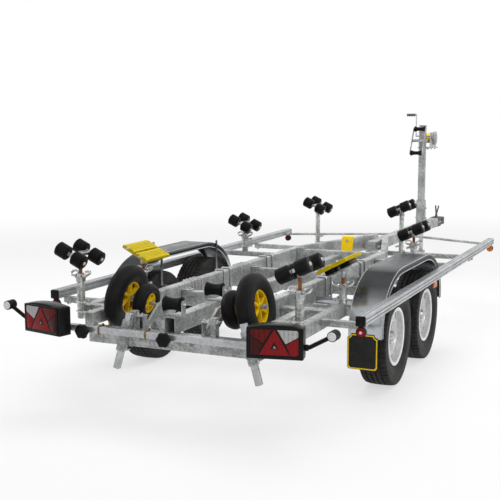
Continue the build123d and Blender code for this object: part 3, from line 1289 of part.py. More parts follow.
FORK_TOP_Z = 2 * JOCKEY_WHEEL_R + FORK_CLEAR + FORK_CROWN_T
with BuildPart() as jockey_tube:
    rod((JOCKEY_X, JOCKEY_Y, FORK_TOP_Z), (JOCKEY_X, JOCKEY_Y, JOCKEY_INNER_TOP_Z), JOCKEY_INNER_R)
    rod((JOCKEY_X, JOCKEY_Y, FORK_TOP_Z - FORK_CROWN_T), (JOCKEY_X, JOCKEY_Y, FORK_TOP_Z), SWIVEL_PIN_R)
save(jockey_tube, "jockey_tube")

JOCKEY_AXLE_Y = JOCKEY_Y - JOCKEY_TRAIL
FORK_INNER = JOCKEY_WHEEL_WIDTH / 2 + FORK_CHEEK_GAP
FORK_OUTER = FORK_INNER + FORK_CHEEK_T
with BuildPart() as jockey_fork:
    with Locations((JOCKEY_X, JOCKEY_Y - JOCKEY_TRAIL / 2, FORK_TOP_Z - FORK_CROWN_T / 2)):
        Box(2 * FORK_OUTER, JOCKEY_TRAIL + FORK_CHEEK_WIDTH + 2 * SWIVEL_PIN_R, FORK_CROWN_T)
    for side in SIDES.values():
        cheek_x = sorted((JOCKEY_X + side * FORK_INNER, JOCKEY_X + side * FORK_OUTER))
        fork_face = outline(
            side_plane(cheek_x[0]),
            (JOCKEY_AXLE_Y - FORK_CHEEK_WIDTH / 2, JOCKEY_WHEEL_R - FORK_CHEEK_WIDTH / 2),
            (JOCKEY_AXLE_Y + FORK_CHEEK_WIDTH / 2, JOCKEY_WHEEL_R - FORK_CHEEK_WIDTH / 2),
            (JOCKEY_Y + FORK_CHEEK_WIDTH / 2, FORK_TOP_Z - FORK_CROWN_T),
            (JOCKEY_AXLE_Y - FORK_CHEEK_WIDTH / 2, FORK_TOP_Z - FORK_CROWN_T),
        )
        extrude(fork_face, amount=FORK_CHEEK_T)
    rod(
        (JOCKEY_X - FORK_OUTER, JOCKEY_AXLE_Y, JOCKEY_WHEEL_R),
        (JOCKEY_X + FORK_OUTER, JOCKEY_AXLE_Y, JOCKEY_WHEEL_R),
        JOCKEY_AXLE_R,
    )
    with Locations((JOCKEY_X, JOCKEY_Y, FORK_TOP_Z - FORK_CROWN_T / 2)):
        Cylinder(SWIVEL_PIN_R + RUNNING, FORK_CROWN_T, mode=Mode.SUBTRACT)
save(jockey_fork, "jockey_fork")

with BuildPart() as jockey_wheel:
    wheel_centre = (JOCKEY_X, JOCKEY_AXLE_Y, JOCKEY_WHEEL_R)
    with BuildSketch(wheel_plane(wheel_centre, (1, 0, 0))):
        half = JOCKEY_WHEEL_WIDTH / 2
        corner_r = JOCKEY_WHEEL_R - JOCKEY_CROWN
        with BuildLine():
            Line((-half, corner_r), (-half, JOCKEY_AXLE_R + RUNNING))
            Line((-half, JOCKEY_AXLE_R + RUNNING), (half, JOCKEY_AXLE_R + RUNNING))
            Line((half, JOCKEY_AXLE_R + RUNNING), (half, corner_r))
            ThreePointArc((half, corner_r), (0, JOCKEY_WHEEL_R), (-half, corner_r))
        make_face()
    revolve(axis=Axis(wheel_centre, (1, 0, 0)))
save(jockey_wheel, "jockey_wheel")
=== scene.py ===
"""Looks of a tandem-axle boat trailer, built around its packed construction.

Everything is in metres: +X to the trailer's right, +Y towards the coupling, +Z up.
"""
import json
import logging
import math
from collections.abc import Callable, Iterable, Sequence
from dataclasses import dataclass, field
from enum import Enum
from functools import cache

import bmesh
import bpy
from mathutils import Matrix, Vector


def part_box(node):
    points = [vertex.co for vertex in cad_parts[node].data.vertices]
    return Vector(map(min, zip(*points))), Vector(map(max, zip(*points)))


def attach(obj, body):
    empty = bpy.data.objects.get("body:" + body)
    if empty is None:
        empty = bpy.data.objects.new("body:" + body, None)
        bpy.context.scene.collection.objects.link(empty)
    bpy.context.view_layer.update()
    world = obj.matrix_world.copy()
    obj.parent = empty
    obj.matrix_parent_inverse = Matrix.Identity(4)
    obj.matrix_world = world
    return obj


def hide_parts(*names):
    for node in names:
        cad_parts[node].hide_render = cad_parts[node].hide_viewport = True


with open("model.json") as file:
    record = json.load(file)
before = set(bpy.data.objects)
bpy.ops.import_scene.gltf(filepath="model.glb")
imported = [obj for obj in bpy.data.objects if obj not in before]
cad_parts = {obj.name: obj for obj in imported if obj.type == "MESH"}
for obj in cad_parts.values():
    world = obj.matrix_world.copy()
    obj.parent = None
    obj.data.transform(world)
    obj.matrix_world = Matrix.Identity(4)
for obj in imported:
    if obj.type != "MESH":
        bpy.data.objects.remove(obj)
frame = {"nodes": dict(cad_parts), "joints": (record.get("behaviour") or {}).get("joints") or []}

log = logging.getLogger("boat_trailer")
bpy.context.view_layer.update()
CHASSIS = "chassis"
QUARTER = math.pi / 2
SIDES = (-1, 1)
X_AXIS = Vector((1, 0, 0))
Y_AXIS = Vector((0, 1, 0))
Z_AXIS = Vector((0, 0, 1))

Node = bpy.types.Node
Socket = bpy.types.NodeSocket
Tree = bpy.types.NodeTree
Sockets = dict[str | int, object]
Mesh = bmesh.types.BMesh
Colour = tuple[float, float, float, float]
Triple = tuple[float, float, float]
Pair = tuple[float, float]
Points = tuple[Pair, ...]
Profile = list[Pair]
Relief = Callable[[float, int], float]
WHITE: Colour = (1.0, 1.0, 1.0, 1.0)
# A fastener's sizes, as shares of its head's radius.
WASHER_REACH, WASHER_DEPTH = 1.45, 0.25
HEAD_DEPTH, HEAD_CHAMFER, HEAD_FACE = 0.9, 0.15, 0.82
THREAD_REACH, THREAD_TIP = 0.55, 0.45
# A U-bolt's nuts, as shares of its wire's radius.
LEG_NUT_RISE, LEG_NUT_REACH = 2.5, 1.9


class Hand(Enum):
    """The side of the trailer that a piece is on."""

    LEFT = -1
    RIGHT = 1

    @property
    def word(self) -> str:
        """Return the side's name as the frame's nodes spell it."""
        return self.name.lower()


class Along(Enum):
    """The axis that a straight tube follows."""

    X = 0
    Y = 1
    Z = 2


class Head(Enum):
    """The kind of head that a fastener shows: its number of sides."""

    HEX = 6
    ROUND = 16


@dataclass
class Place:
    """A local frame: an origin with three directions at right angles."""

    origin: Vector
    across: Vector
    up: Vector

    @property
    def out(self) -> Vector:
        """Return the third direction, across times up."""
        return self.across.cross(self.up)

    def at(self, across: float, up: float, out: float = 0.0) -> Vector:
        """Return the point at three local distances."""
        return self.origin + self.across * across + self.up * up + self.out * out

    def moved(self, across: float, up: float, out: float = 0.0) -> "Place":
        """Return the same directions with the origin moved by local distances."""
        return Place(self.at(across, up, out), self.across, self.up)


def facing(origin: Vector, out: Vector) -> Place:
    """Return a local frame whose third direction is given.

    Args:
        origin: Where the frame sits.
        out: The direction that the frame faces.

    Returns:
        The frame, with its first direction level where that can be.
    """
    out = Vector(out).normalized()
    helper = Z_AXIS if abs(out.z) < 0.9 else Y_AXIS
    across = helper.cross(out).normalized()
    return Place(Vector(origin), across, out.cross(across))


def level(origin: Vector) -> Place:
    """Return a local frame that lies flat, across to the right and up to the front."""
    return Place(origin, X_AXIS, Y_AXIS)


def angles(start: float, end: float, steps: int) -> list[float]:
    """Return evenly spaced angles from a start to an end, both included."""
    return [start + (end - start) * step / steps for step in range(steps + 1)]


def turns(steps: int) -> list[float]:
    """Return the angles of a full turn's stops."""
    return angles(0.0, math.tau, steps)[:-1]


def ribbed(count: int, stops: Sequence[Pair]) -> Profile:
    """Repeat one rib along a run.

    Args:
        count: How many ribs the run has.
        stops: Places within one rib, from 0 to 1, each with a value.

    Returns:
        Places within the whole run, from 0 to 1, each with its value.
    """
    return [((rib + place) / count, value) for rib in range(count) for place, value in stops]


def mirrored(profile: Sequence[Pair]) -> Profile:
    """Return a profile's other half: its points in reverse, on the far side of the middle."""
    return [(-along, reach) for along, reach in reversed(profile)]


def rounded_box(half_u: float, half_v: float, radius: float) -> Profile:
    """Return the outline of a rectangle with rounded corners.

    Args:
        half_u: Half its size along the first direction.
        half_v: Half its size along the second direction.
        radius: The corners' radius.

    Returns:
        The outline's points in order.
    """
    radius = min(radius, half_u * 0.95, half_v * 0.95)
    points = []
    for quarter, (u, v) in enumerate(((1, 1), (-1, 1), (-1, -1), (1, -1))):
        centre_u, centre_v = u * (half_u - radius), v * (half_v - radius)
        for angle in angles(QUARTER * quarter, QUARTER * (quarter + 1), 4):
            across, up = radius * math.cos(angle), radius * math.sin(angle)
            points.append((centre_u + across, centre_v + up))
    return points


@dataclass
class Shape:
    """The corners and faces of one piece while it is made."""

    corners: list[Vector] = field(default_factory=list)
    faces: list[tuple[int, ...]] = field(default_factory=list)

    def loft(
        self, rings: Sequence[Sequence[Vector]], loop: bool = False, shut: bool = True
    ) -> "Shape":
        """Join rings of equal length by rows of faces, and close the ends of an open row.

        Args:
            rings: The rings in order.
            loop: Whether the last ring joins the first one.
            shut: Whether each ring's last corner joins its first.

        Returns:
            This shape.
        """
        base, count = len(self.corners), len(rings[0])
        for ring in rings:
            self.corners.extend(ring)
        for row in range(len(rings) if loop else len(rings) - 1):
            here = base + row * count
            there = base + (row + 1) % len(rings) * count
            for column in range(count if shut else count - 1):
                beside = (column + 1) % count
                self.faces.append((here + column, here + beside, there + beside, there + column))
        if not loop:
            last = base + (len(rings) - 1) * count
            self.faces.append(tuple(base + index for index in reversed(range(count))))
            self.faces.append(tuple(last + index for index in range(count)))
        return self

    def block(self, low: Vector, high: Vector) -> "Shape":
        """Add a box between two corners."""
        return self.slab(level((low + high) / 2), tuple((high - low) / 2))

    def slab(self, place: Place, half: Triple) -> "Shape":
        """Add a box around a local frame's origin, from its half sizes."""
        u, v, w = half
        return self.prism(place.moved(0, 0, -w), ((-u, -v), (u, -v), (u, v), (-u, v)), 2 * w)

    def prism(self, place: Place, outline: Sequence[Pair], depth: float) -> "Shape":
        """Add a flat outline drawn in a local frame, thickened along its third direction."""
        return self.loft([[place.at(u, v, w) for u, v in outline] for w in (0.0, depth)])

    def spin(
        self,
        place: Place,
        profile: Sequence[Pair],
        steps: int = 32,
        shut: bool = False,
        relief: Relief | None = None,
    ) -> "Shape":
        """Turn a profile about a local frame's third direction.

        Args:
            place: The frame; the axis is its third direction.
            profile: Points as distance along the axis and radius.
            steps: How many stops a full turn has.
            shut: Whether the profile's last point joins its first.
            relief: How much the radius changes at a stop's angle, for each profile point's index.

        Returns:
            This shape.
        """
        rings = []
        for angle in turns(steps):
            cosine, sine = math.cos(angle), math.sin(angle)
            ring = []
            for index, (along, radius) in enumerate(profile):
                reach = radius + (relief(angle, index) if relief else 0.0)
                ring.append(place.at(reach * cosine, reach * sine, along))
            rings.append(ring)
        return self.loft(rings, loop=True, shut=shut)

    def turned(
        self, place: Place, skin: Sequence[Pair], steps: int = 32, relief: Relief | None = None
    ) -> "Shape":
        """Turn a skin as spin does, with a flat face at each of its ends."""
        whole = [(skin[0][0], 0.0), *skin, (skin[-1][0], 0.0)]
        return self.spin(place, whole, steps, relief=relief)

    def bar(self, start: Vector, end: Vector, radius: float) -> "Shape":
        """Add a round bar between two points, with its ends' edges broken."""
        length = (end - start).length
        edge = min(radius * 0.15, length / 3)
        face = radius - edge
        skin = [(0, face), (edge, radius), (length - edge, radius), (length, face)]
        return self.turned(facing(start, end - start), skin, 20)

    def sweep(
        self, path: Sequence[Vector], radius: float, steps: int = 10, loop: bool = False
    ) -> "Shape":
        """Add a round rod along a path.

        Args:
            path: The points of its middle line.
            radius: The rod's radius.
            steps: How many sides its section has.
            loop: Whether the path's last point joins its first.

        Returns:
            This shape.
        """
        count = len(path)
        rings = []
        across = None
        for index, point in enumerate(path):
            before = path[index - 1] if index or loop else point
            after = path[(index + 1) % count] if index + 1 < count or loop else point
            ahead = (after - before).normalized()
            if across is None:
                across = facing(point, ahead).across
            across = (across - ahead * across.dot(ahead)).normalized()
            section = Place(point, across, ahead.cross(across))
            ring = [(radius * math.cos(turn), radius * math.sin(turn)) for turn in turns(steps)]
            rings.append([section.at(u, v) for u, v in ring])
        return self.loft(rings, loop=loop)

    def tube(
        self, low: Vector, high: Vector, along: Along, wall: float = 0.005, corner: float = 0.009
    ) -> "Shape":
        """Add a hollow square tube with rounded corners that fills a box.

        Args:
            low: The box's lowest corner.
            high: The box's highest corner.
            along: The axis that the tube follows.
            wall: The thickness of its wall.
            corner: The outer radius of its corners.

        Returns:
            This shape.
        """
        first, second = [axis.value for axis in Along if axis is not along]
        middle, half = (low + high) / 2, (high - low) / 2

        def ring(inset: float, station: float) -> list[Vector]:
            """Return the tube's section at one station, moved in by the inset."""
            radius = max(corner - inset, 0.002)
            points = []
            for u, v in rounded_box(half[first] - inset, half[second] - inset, radius):
                point = middle.copy()
                point[first] += u
                point[second] += v
                point[along.value] = station
                points.append(point)
            return points

        near, far = low[along.value], high[along.value]
        rings = [ring(0.0, near), ring(0.0, far), ring(wall, far), ring(wall, near)]
        return self.loft(rings, loop=True)

    def u_bolt(self, place: Place, half: float, leg: float, wire: float, bend: float) -> "Shape":
        """Add a U-shaped bolt with a nut on each leg.

        Args:
            place: The frame of its plane; the origin is at the crown and the legs run down.
            half: Half the distance between the legs' middle lines.
            leg: How far the legs reach below the crown.
            wire: The radius of its wire.
            bend: The radius of its two corners.

        Returns:
            This shape.
        """
        path = [place.at(-half, -leg)]
        for centre, start in ((bend - half, math.pi), (half - bend, QUARTER)):
            for angle in angles(start, start - QUARTER, 5):
                point = place.at(centre + bend * math.cos(angle), bend * (math.sin(angle) - 1))
                if (point - path[-1]).length > 1e-6:
                    path.append(point)
        self.sweep([*path, place.at(half, -leg)], wire)
        for side in SIDES:
            seat = place.at(side * half, wire * LEG_NUT_RISE - leg)
            self.fastener(seat, -place.up, wire * LEG_NUT_REACH)
        return self

    def fastener(self, at: Vector, out: Vector, radius: float, head: Head = Head.HEX) -> "Shape":
        """Add a bolt's head or nut with its washer and the end of its thread, seated at a point."""
        place = facing(at, out)
        washer, wide = radius * WASHER_DEPTH, radius * WASHER_REACH
        crown, thread = washer + radius * HEAD_DEPTH, radius * THREAD_REACH
        self.turned(place, [(0, wide), (washer, wide)], 16)
        flank = [(washer, radius), (crown - radius * HEAD_CHAMFER, radius)]
        self.turned(place, [*flank, (crown, radius * HEAD_FACE)], head.value)
        if head is Head.HEX:
            self.turned(place, [(crown, thread), (crown + thread, radius * THREAD_TIP)], 10)
        return self


@dataclass(frozen=True)
class Solid:
    """The box of one solid of a construction node."""

    low: Vector
    high: Vector

    @property
    def middle(self) -> Vector:
        """Return the middle of the box."""
        return (self.low + self.high) / 2

    @property
    def size(self) -> Vector:
        """Return the box's sizes."""
        return self.high - self.low

    @property
    def side(self) -> int:
        """Return 1 on the trailer's right and -1 on its left."""
        return 1 if self.middle.x > 0 else -1


def welded(node: str) -> Mesh:
    """Return a copy of a node's mesh with its split corners joined and flat faces whole."""
    mesh = bmesh.new()
    mesh.from_mesh(frame["nodes"][node].data)
    bmesh.ops.remove_doubles(mesh, verts=mesh.verts, dist=2e-5)
    flat = math.radians(0.5)
    bmesh.ops.dissolve_limit(mesh, angle_limit=flat, verts=mesh.verts, edges=mesh.edges)
    return mesh


def solids(node: str) -> list[Solid]:
    """Return the boxes of a node's separate solids, from left to right and rear to front."""
    mesh = welded(node)
    left = set(mesh.verts)
    found = []
    while left:
        queue = [left.pop()]
        points = []
        while queue:
            corner = queue.pop()
            points.append(corner.co.copy())
            for edge in corner.link_edges:
                other = edge.other_vert(corner)
                if other in left:
                    left.remove(other)
                    queue.append(other)
        low, high = (Vector([end(axis) for axis in zip(*points)]) for end in (min, max))
        found.append(Solid(low, high))
    mesh.free()
    return sorted(found, key=lambda box: (round(box.middle.x, 3), round(box.middle.y, 3)))


def solid(node: str) -> Solid:
    """Return the box of a whole node."""
    return Solid(*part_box(node))


def joint_axis(name: str) -> tuple[Vector, Vector]:
    """Return the point (the origin for a slide) and the direction of a joint."""
    joint = next(joint for joint in frame["joints"] if joint["name"] == name)
    return Vector(joint.get("pos_m", (0, 0, 0))), Vector(joint["axis"]).normalized()


class Wiring:
    """Short ways to add and link shader nodes in one tree."""

    def __init__(self, tree: Tree) -> None:
        """Keep the tree that the nodes go into."""
        self.tree = tree

    def fill(self, node: Node, sockets: Sockets) -> None:
        """Link or set a node's inputs by their labels or numbers."""
        for label, value in sockets.items():
            if isinstance(value, Socket):
                self.tree.links.new(value, node.inputs[label])
            else:
                node.inputs[label].default_value = value

    def node(self, kind: str, sockets: Sockets, **settings: object) -> Node:
        """Add a shader node.

        Args:
            kind: The node's type name, without the words that all shader nodes start with.
            sockets: What its inputs hold: values or other nodes' outputs.
            settings: Its properties by name.

        Returns:
            The node.
        """
        made = self.tree.nodes.new(f"ShaderNode{kind}")
        for name, value in settings.items():
            setattr(made, name, value)
        self.fill(made, sockets)
        return made

    def effect(self, group: Tree, sockets: Sockets) -> bpy.types.NodeOutputs:
        """Place a node group and return what comes out of it."""
        return self.node("Group", sockets, node_tree=group).outputs

    def spot(self) -> Socket:
        """Return the place on the object."""
        return self.node("TexCoord", {}).outputs["Object"]

    def math(self, operation: str, *values: object) -> Socket:
        """Return the result of a sum on values."""
        return self.node("Math", dict(enumerate(values)), operation=operation).outputs[0]

    def product(self, first: Socket, second: Socket) -> Socket:
        """Return two vectors or colours multiplied part by part."""
        made = self.node("VectorMath", {0: first, 1: second}, operation="MULTIPLY")
        return made.outputs["Vector"]

    def noise(self, spot: Socket, scale: Socket, detail: float, rough: float) -> Socket:
        """Return cloudy noise from 0 to 1."""
        values = {"Vector": spot, "Scale": scale, "Detail": detail, "Roughness": rough}
        return self.node("TexNoise", values).outputs["Fac"]

    def blend(self, share: Socket, low: object, high: object) -> Socket:
        """Return the mix of two colours by a share from 0 to 1."""
        return self.node("Mix", {0: share, 6: low, 7: high}, data_type="RGBA").outputs[2]

    def spread(self, value: Socket, start: float, end: float) -> Socket:
        """Return a value from 0 to 1 stretched between a start and an end."""
        ends = {"Value": value, "To Min": start, "To Max": end}
        return self.node("MapRange", ends).outputs["Result"]

    def ramp(
        self, value: Socket, low: float, high: float, start: float = 0.0, end: float = 1.0
    ) -> Socket:
        """Return a value eased so that low becomes the start and high becomes the end."""
        ends = {"Value": value, "From Min": low, "From Max": high, "To Min": start, "To Max": end}
        return self.node("MapRange", ends, interpolation_type="SMOOTHSTEP").outputs["Result"]


def new_group(
    name: str, inputs: dict[str, str], outputs: dict[str, str]
) -> tuple[Wiring, bpy.types.NodeOutputs, Node]:
    """Start a node group with its sockets.

    Args:
        name: The group's name.
        inputs: Labels and socket types of what goes in.
        outputs: Labels and socket types of what comes out.

    Returns:
        The group's wiring, what it is given, and the node that takes its results.
    """
    tree = bpy.data.node_groups.new(name, "ShaderNodeTree")
    for way, sockets in (("INPUT", inputs), ("OUTPUT", outputs)):
        for label, kind in sockets.items():
            tree.interface.new_socket(label, in_out=way, socket_type=f"NodeSocket{kind}")
    given = tree.nodes.new("NodeGroupInput").outputs
    return Wiring(tree), given, tree.nodes.new("NodeGroupOutput")


@cache
def zinc_mottle() -> Tree:
    """Return the patchy crystals of hot-dipped zinc."""
    wiring, given, results = new_group(
        "zinc_mottle",
        {"Light": "Color", "Dark": "Color", "Crystal Scale": "Float", "Patch Scale": "Float"},
        {"Color": "Color", "Patch": "Float", "Height": "Float"},
    )
    spot = wiring.spot()
    cells = {"Vector": spot, "Scale": given["Crystal Scale"], "Randomness": 1.0}
    crystal = wiring.node("TexVoronoi", cells).outputs["Color"]
    patch = wiring.noise(spot, given["Patch Scale"], 5.0, 0.62)
    tone = wiring.node("SeparateColor", {"Color": crystal}).outputs[0]
    share = wiring.ramp(wiring.math("MULTIPLY_ADD", tone, 0.30, patch), 0.42, 0.90)
    colour = wiring.blend(share, given["Dark"], given["Light"])
    wiring.fill(results, {"Color": colour, "Patch": share, "Height": patch})
    return wiring.tree


@cache
def height_bands(stops: Points) -> Tree:
    """Return the colour darkened and lightened by height: a painted reflection, as of a room on a
    sheet.

    Args:
        stops: Heights from low to high, each with the share of the colour that the painted
            reflection leaves there.

    Returns:
        The group.
    """
    sockets = {"Color": "Color"}
    wiring, given, results = new_group("height_bands", sockets, sockets)
    height = wiring.node("SeparateXYZ", {"Vector": wiring.spot()}).outputs["Z"]
    low, high = stops[0][0], stops[-1][0]
    ends = {"Value": height, "From Min": low, "From Max": high}
    rise = wiring.node("MapRange", ends).outputs["Result"]
    ramp = wiring.node("ValToRGB", {"Fac": rise})
    elements = ramp.color_ramp.elements
    while len(elements) < len(stops):
        elements.new(0.5)
    for element, (place, share) in zip(elements, stops):
        element.position = (place - low) / (high - low)
        element.color = grey(share)
    wiring.fill(results, {"Color": wiring.product(given["Color"], ramp.outputs["Color"])})
    return wiring.tree


@cache
def dust_film() -> Tree:
    """Return a thin film of dust that gathers in patches."""
    wiring, given, results = new_group(
        "dust_film",
        {"Color": "Color", "Dust": "Color", "Amount": "Float", "Scale": "Float"},
        {"Color": "Color"},
    )
    patchy = wiring.ramp(wiring.noise(wiring.spot(), given["Scale"], 6.0, 0.7), 0.35, 0.75)
    share = wiring.math("MULTIPLY", patchy, given["Amount"])
    wiring.fill(results, {"Color": wiring.blend(share, given["Color"], given["Dust"])})
    return wiring.tree


@cache
def fine_grain() -> Tree:
    """Return the fine unevenness of a cast, moulded or rolled surface."""
    outputs = {"Height": "Float", "Tone": "Float"}
    wiring, given, results = new_group("fine_grain", {"Scale": "Float"}, outputs)
    height = wiring.noise(wiring.spot(), given["Scale"], 4.0, 0.6)
    wiring.fill(results, {"Height": height, "Tone": wiring.ramp(height, 0.3, 0.7)})
    return wiring.tree


def grey(value: float, warmth: float = 0.0) -> Colour:
    """Return a neutral colour, a little warmer or cooler."""
    return (value * (1 + warmth), value, value * (1 - warmth), 1.0)


@dataclass(frozen=True)
class Finish:
    """What every finish has: its own name and the record's slot that it belongs to."""

    name: str
    slot: str

    def material(self) -> bpy.types.Material:
        """Return the finish's material, made on first use."""
        name = f"{self.name}_finish"
        made = bpy.data.materials.get(name)
        if made is None:
            made = bpy.data.materials.new(name)
            made.use_nodes = True
            wiring = Wiring(made.node_tree)
            wiring.fill(made.node_tree.nodes["Principled BSDF"], self.surface(wiring))
        return made

    def surface(self, wiring: Wiring) -> Sockets:
        """Return what the shader's inputs hold."""
        raise NotImplementedError

    @staticmethod
    def bump(wiring: Wiring, height: Socket, depth: float) -> Socket:
        """Return the normal of a surface raised by a height that varies from 0 to 1."""
        values = {"Strength": 0.6, "Distance": depth, "Height": height}
        return wiring.node("Bump", values).outputs["Normal"]


@dataclass(frozen=True)
class Zinc(Finish):
    """Zinc-coated or bare metal with mottled patches, and a painted reflection by height where one
    is given.
    """

    light: Colour = (0.478, 0.494, 0.486, 1.0)
    dark: Colour = (0.218, 0.231, 0.224, 1.0)
    metallic: float = 0.35
    rough: Pair = (0.34, 0.50)
    crystals: float = 95.0
    patches: float = 7.0
    depth: float = 0.0006
    edge: float = 1.0
    # Heights and shares of colour for a painted reflection, darker and lighter by height; empty for
    # none.
    bands: Points = ()

    def surface(self, wiring: Wiring) -> Sockets:
        """Return what the shader's inputs hold."""
        tones = {"Light": self.light, "Dark": self.dark}
        scales = {"Crystal Scale": self.crystals, "Patch Scale": self.patches}
        mottle = wiring.effect(zinc_mottle(), tones | scales)
        colour = mottle["Color"]
        # Painted reflection: the colour is darkened and lightened by height.
        if self.bands:
            colour = wiring.effect(height_bands(self.bands), {"Color": colour})["Color"]
        smooth, matt = self.rough
        return {
            "Base Color": colour,
            "Roughness": wiring.spread(mottle["Patch"], matt, smooth),
            "Metallic": self.metallic,
            "Specular Tint": grey(self.edge),
            "Normal": self.bump(wiring, mottle["Height"], self.depth),
        }


@dataclass(frozen=True)
class Moulded(Finish):
    """Rubber or plastic with a fine grain and a film of dust."""

    colour: Colour = grey(0.03)
    dust: Colour = grey(0.30, 0.05)
    dust_amount: float = 0.15
    dust_scale: float = 14.0
    rough: Pair = (0.42, 0.62)
    grain_scale: float = 260.0
    depth: float = 0.0006
    specular: float = 0.5

    def surface(self, wiring: Wiring) -> Sockets:
        """Return what the shader's inputs hold."""
        tones = {"Color": self.colour, "Dust": self.dust}
        spread = {"Amount": self.dust_amount, "Scale": self.dust_scale}
        film = wiring.effect(dust_film(), tones | spread)
        grain = wiring.effect(fine_grain(), {"Scale": self.grain_scale})
        return {
            "Base Color": film["Color"],
            "Roughness": wiring.spread(grain["Tone"], *self.rough),
            "Specular IOR Level": self.specular,
            "Normal": self.bump(wiring, grain["Height"], self.depth),
        }


@dataclass(frozen=True)
class Lens(Finish):
    """Glossy lamp plastic with moulded optics behind its skin."""

    colour: Colour = (0.22, 0.003, 0.005, 1.0)
    deep: Colour = (0.06, 0.001, 0.001, 1.0)
    optics_scale: float = 170.0
    optics_depth: float = 0.0008
    rough: float = 0.2
    specular: float = 0.12
    coat: float = 0.1
    coat_rough: float = 0.05

    def surface(self, wiring: Wiring) -> Sockets:
        """Return what the shader's inputs hold."""
        values = {"Vector": wiring.spot(), "Scale": self.optics_scale, "Randomness": 0.35}
        cells = wiring.node("TexVoronoi", values).outputs["Distance"]
        return {
            "Base Color": wiring.blend(wiring.ramp(cells, 0.1, 0.7), self.colour, self.deep),
            "Roughness": self.rough,
            "Specular IOR Level": self.specular,
            "Coat Weight": self.coat,
            "Coat Roughness": self.coat_rough,
            "Normal": self.bump(wiring, cells, self.optics_depth),
        }


GALVANISED = Zinc("galvanised_steel", "galvanised")
GALVANISED_TUBE = Zinc(
    "galvanised_tube", "galvanised", light=grey(0.50, -0.025), dark=grey(0.36, -0.025),
    metallic=0.7, rough=(0.24, 0.36), crystals=120.0, patches=9.0, depth=0.0003,
)
MOTTLED_POST = Zinc(
    "mottled_post", "galvanised", light=(0.66, 0.68, 0.65, 1.0), dark=(0.27, 0.29, 0.27, 1.0),
    metallic=0.55, rough=(0.24, 0.40), crystals=70.0, patches=18.0,
)
# Painted reflection on the mudguard sheet: heights, each with the share of its colour shown there;
# light low down, darkest just below the flat top, lighter on the top.
SHEET_PAINTED_REFLECTION = (
    (0.40, 1.0), (0.53, 0.92), (0.585, 0.75), (0.645, 0.32),
    (0.70, 0.12), (0.765, 0.12), (0.782, 0.48),
)
# Sheet zinc for the mudguards and their stays, with the painted reflection by height.
ZINC_SHEET = Zinc(
    "zinc_sheet", "zinc_sheet", light=grey(0.56, -0.04), dark=grey(0.46, -0.04), metallic=0.8,
    edge=0.4, bands=SHEET_PAINTED_REFLECTION, rough=(0.18, 0.25), crystals=18.0, patches=3.5,
    depth=0.0003,
)
RAIL = Zinc(
    "rail_extrusion", "aluminium_rail", light=grey(0.52, -0.03), dark=grey(0.38, -0.03),
    metallic=0.7, rough=(0.28, 0.40), crystals=70.0, depth=0.0004,
)
BRIGHT_ZINC = Zinc(
    "bright_fasteners", "galvanised", light=grey(0.62), dark=grey(0.42), metallic=0.8,
    rough=(0.25, 0.38), crystals=120.0, patches=40.0, depth=0.0003,
)
RUST = Zinc(
    "rusty_thread", "rusty_steel", light=(0.42, 0.17, 0.06, 1.0), dark=(0.20, 0.08, 0.03, 1.0),
    metallic=0.45, rough=(0.45, 0.65), crystals=150.0, patches=60.0,
)
BRONZE_BOLT = Zinc(
    "bronze_bolts", "rusty_steel", light=(0.34, 0.22, 0.09, 1.0), dark=(0.13, 0.08, 0.03, 1.0),
    metallic=0.6, rough=(0.35, 0.50), crystals=150.0, patches=60.0,
)
SILVER_RIM = Zinc(
    "silver_rim", "rim_steel", light=grey(0.70), dark=grey(0.58),
    rough=(0.30, 0.42), crystals=90.0, patches=12.0, depth=0.0003,
)
# Painted highlight: the rim's lip, the same steel as the rim but painted paler to show a bright
# ring on the flange.
RIM_LIP_HIGHLIGHT = Zinc(
    "pale_rim_lip", "rim_steel", light=grey(0.92), dark=grey(0.84), metallic=0.2,
    rough=(0.30, 0.42), crystals=90.0, patches=12.0, depth=0.0002,
)
DARK_CAST = Zinc(
    "dark_casting", "cast_grey", light=grey(0.10), dark=grey(0.05), metallic=0.4,
    rough=(0.45, 0.6), crystals=200.0, patches=30.0,
)
ROAD_TYRE = Moulded(
    "road_tyre", "tyre", colour=grey(0.016), dust=grey(0.08, 0.10), dust_amount=0.35,
    rough=(0.50, 0.68), specular=0.15,
)
HULL_TYRE = Moulded(
    "hull_tyre", "tyre", colour=grey(0.010), dust=grey(0.05, 0.06), dust_amount=0.2,
    rough=(0.34, 0.50), specular=0.1,
)
ROLLER_RUBBER = Moulded(
    "roller_rubber", "black_rubber", colour=grey(0.006), dust_amount=0.02,
    rough=(0.26, 0.42), specular=0.08,
)
FLAP_RUBBER = Moulded(
    "flap_rubber", "black_rubber", colour=grey(0.008), dust_amount=0.04,
    rough=(0.42, 0.55), specular=0.2,
)
YELLOW = Moulded(
    "yellow_plastic", "yellow_plastic", colour=(0.92, 0.62, 0.003, 1.0),
    dust=(0.70, 0.46, 0.006, 1.0), dust_amount=0.35, rough=(0.34, 0.46), specular=0.2,
)
PAD_YELLOW = Moulded(
    "pad_yellow", "yellow_plastic", colour=(0.58, 0.45, 0.002, 1.0),
    dust=(0.42, 0.32, 0.004, 1.0), dust_amount=0.35, rough=(0.36, 0.5), specular=0.15,
)
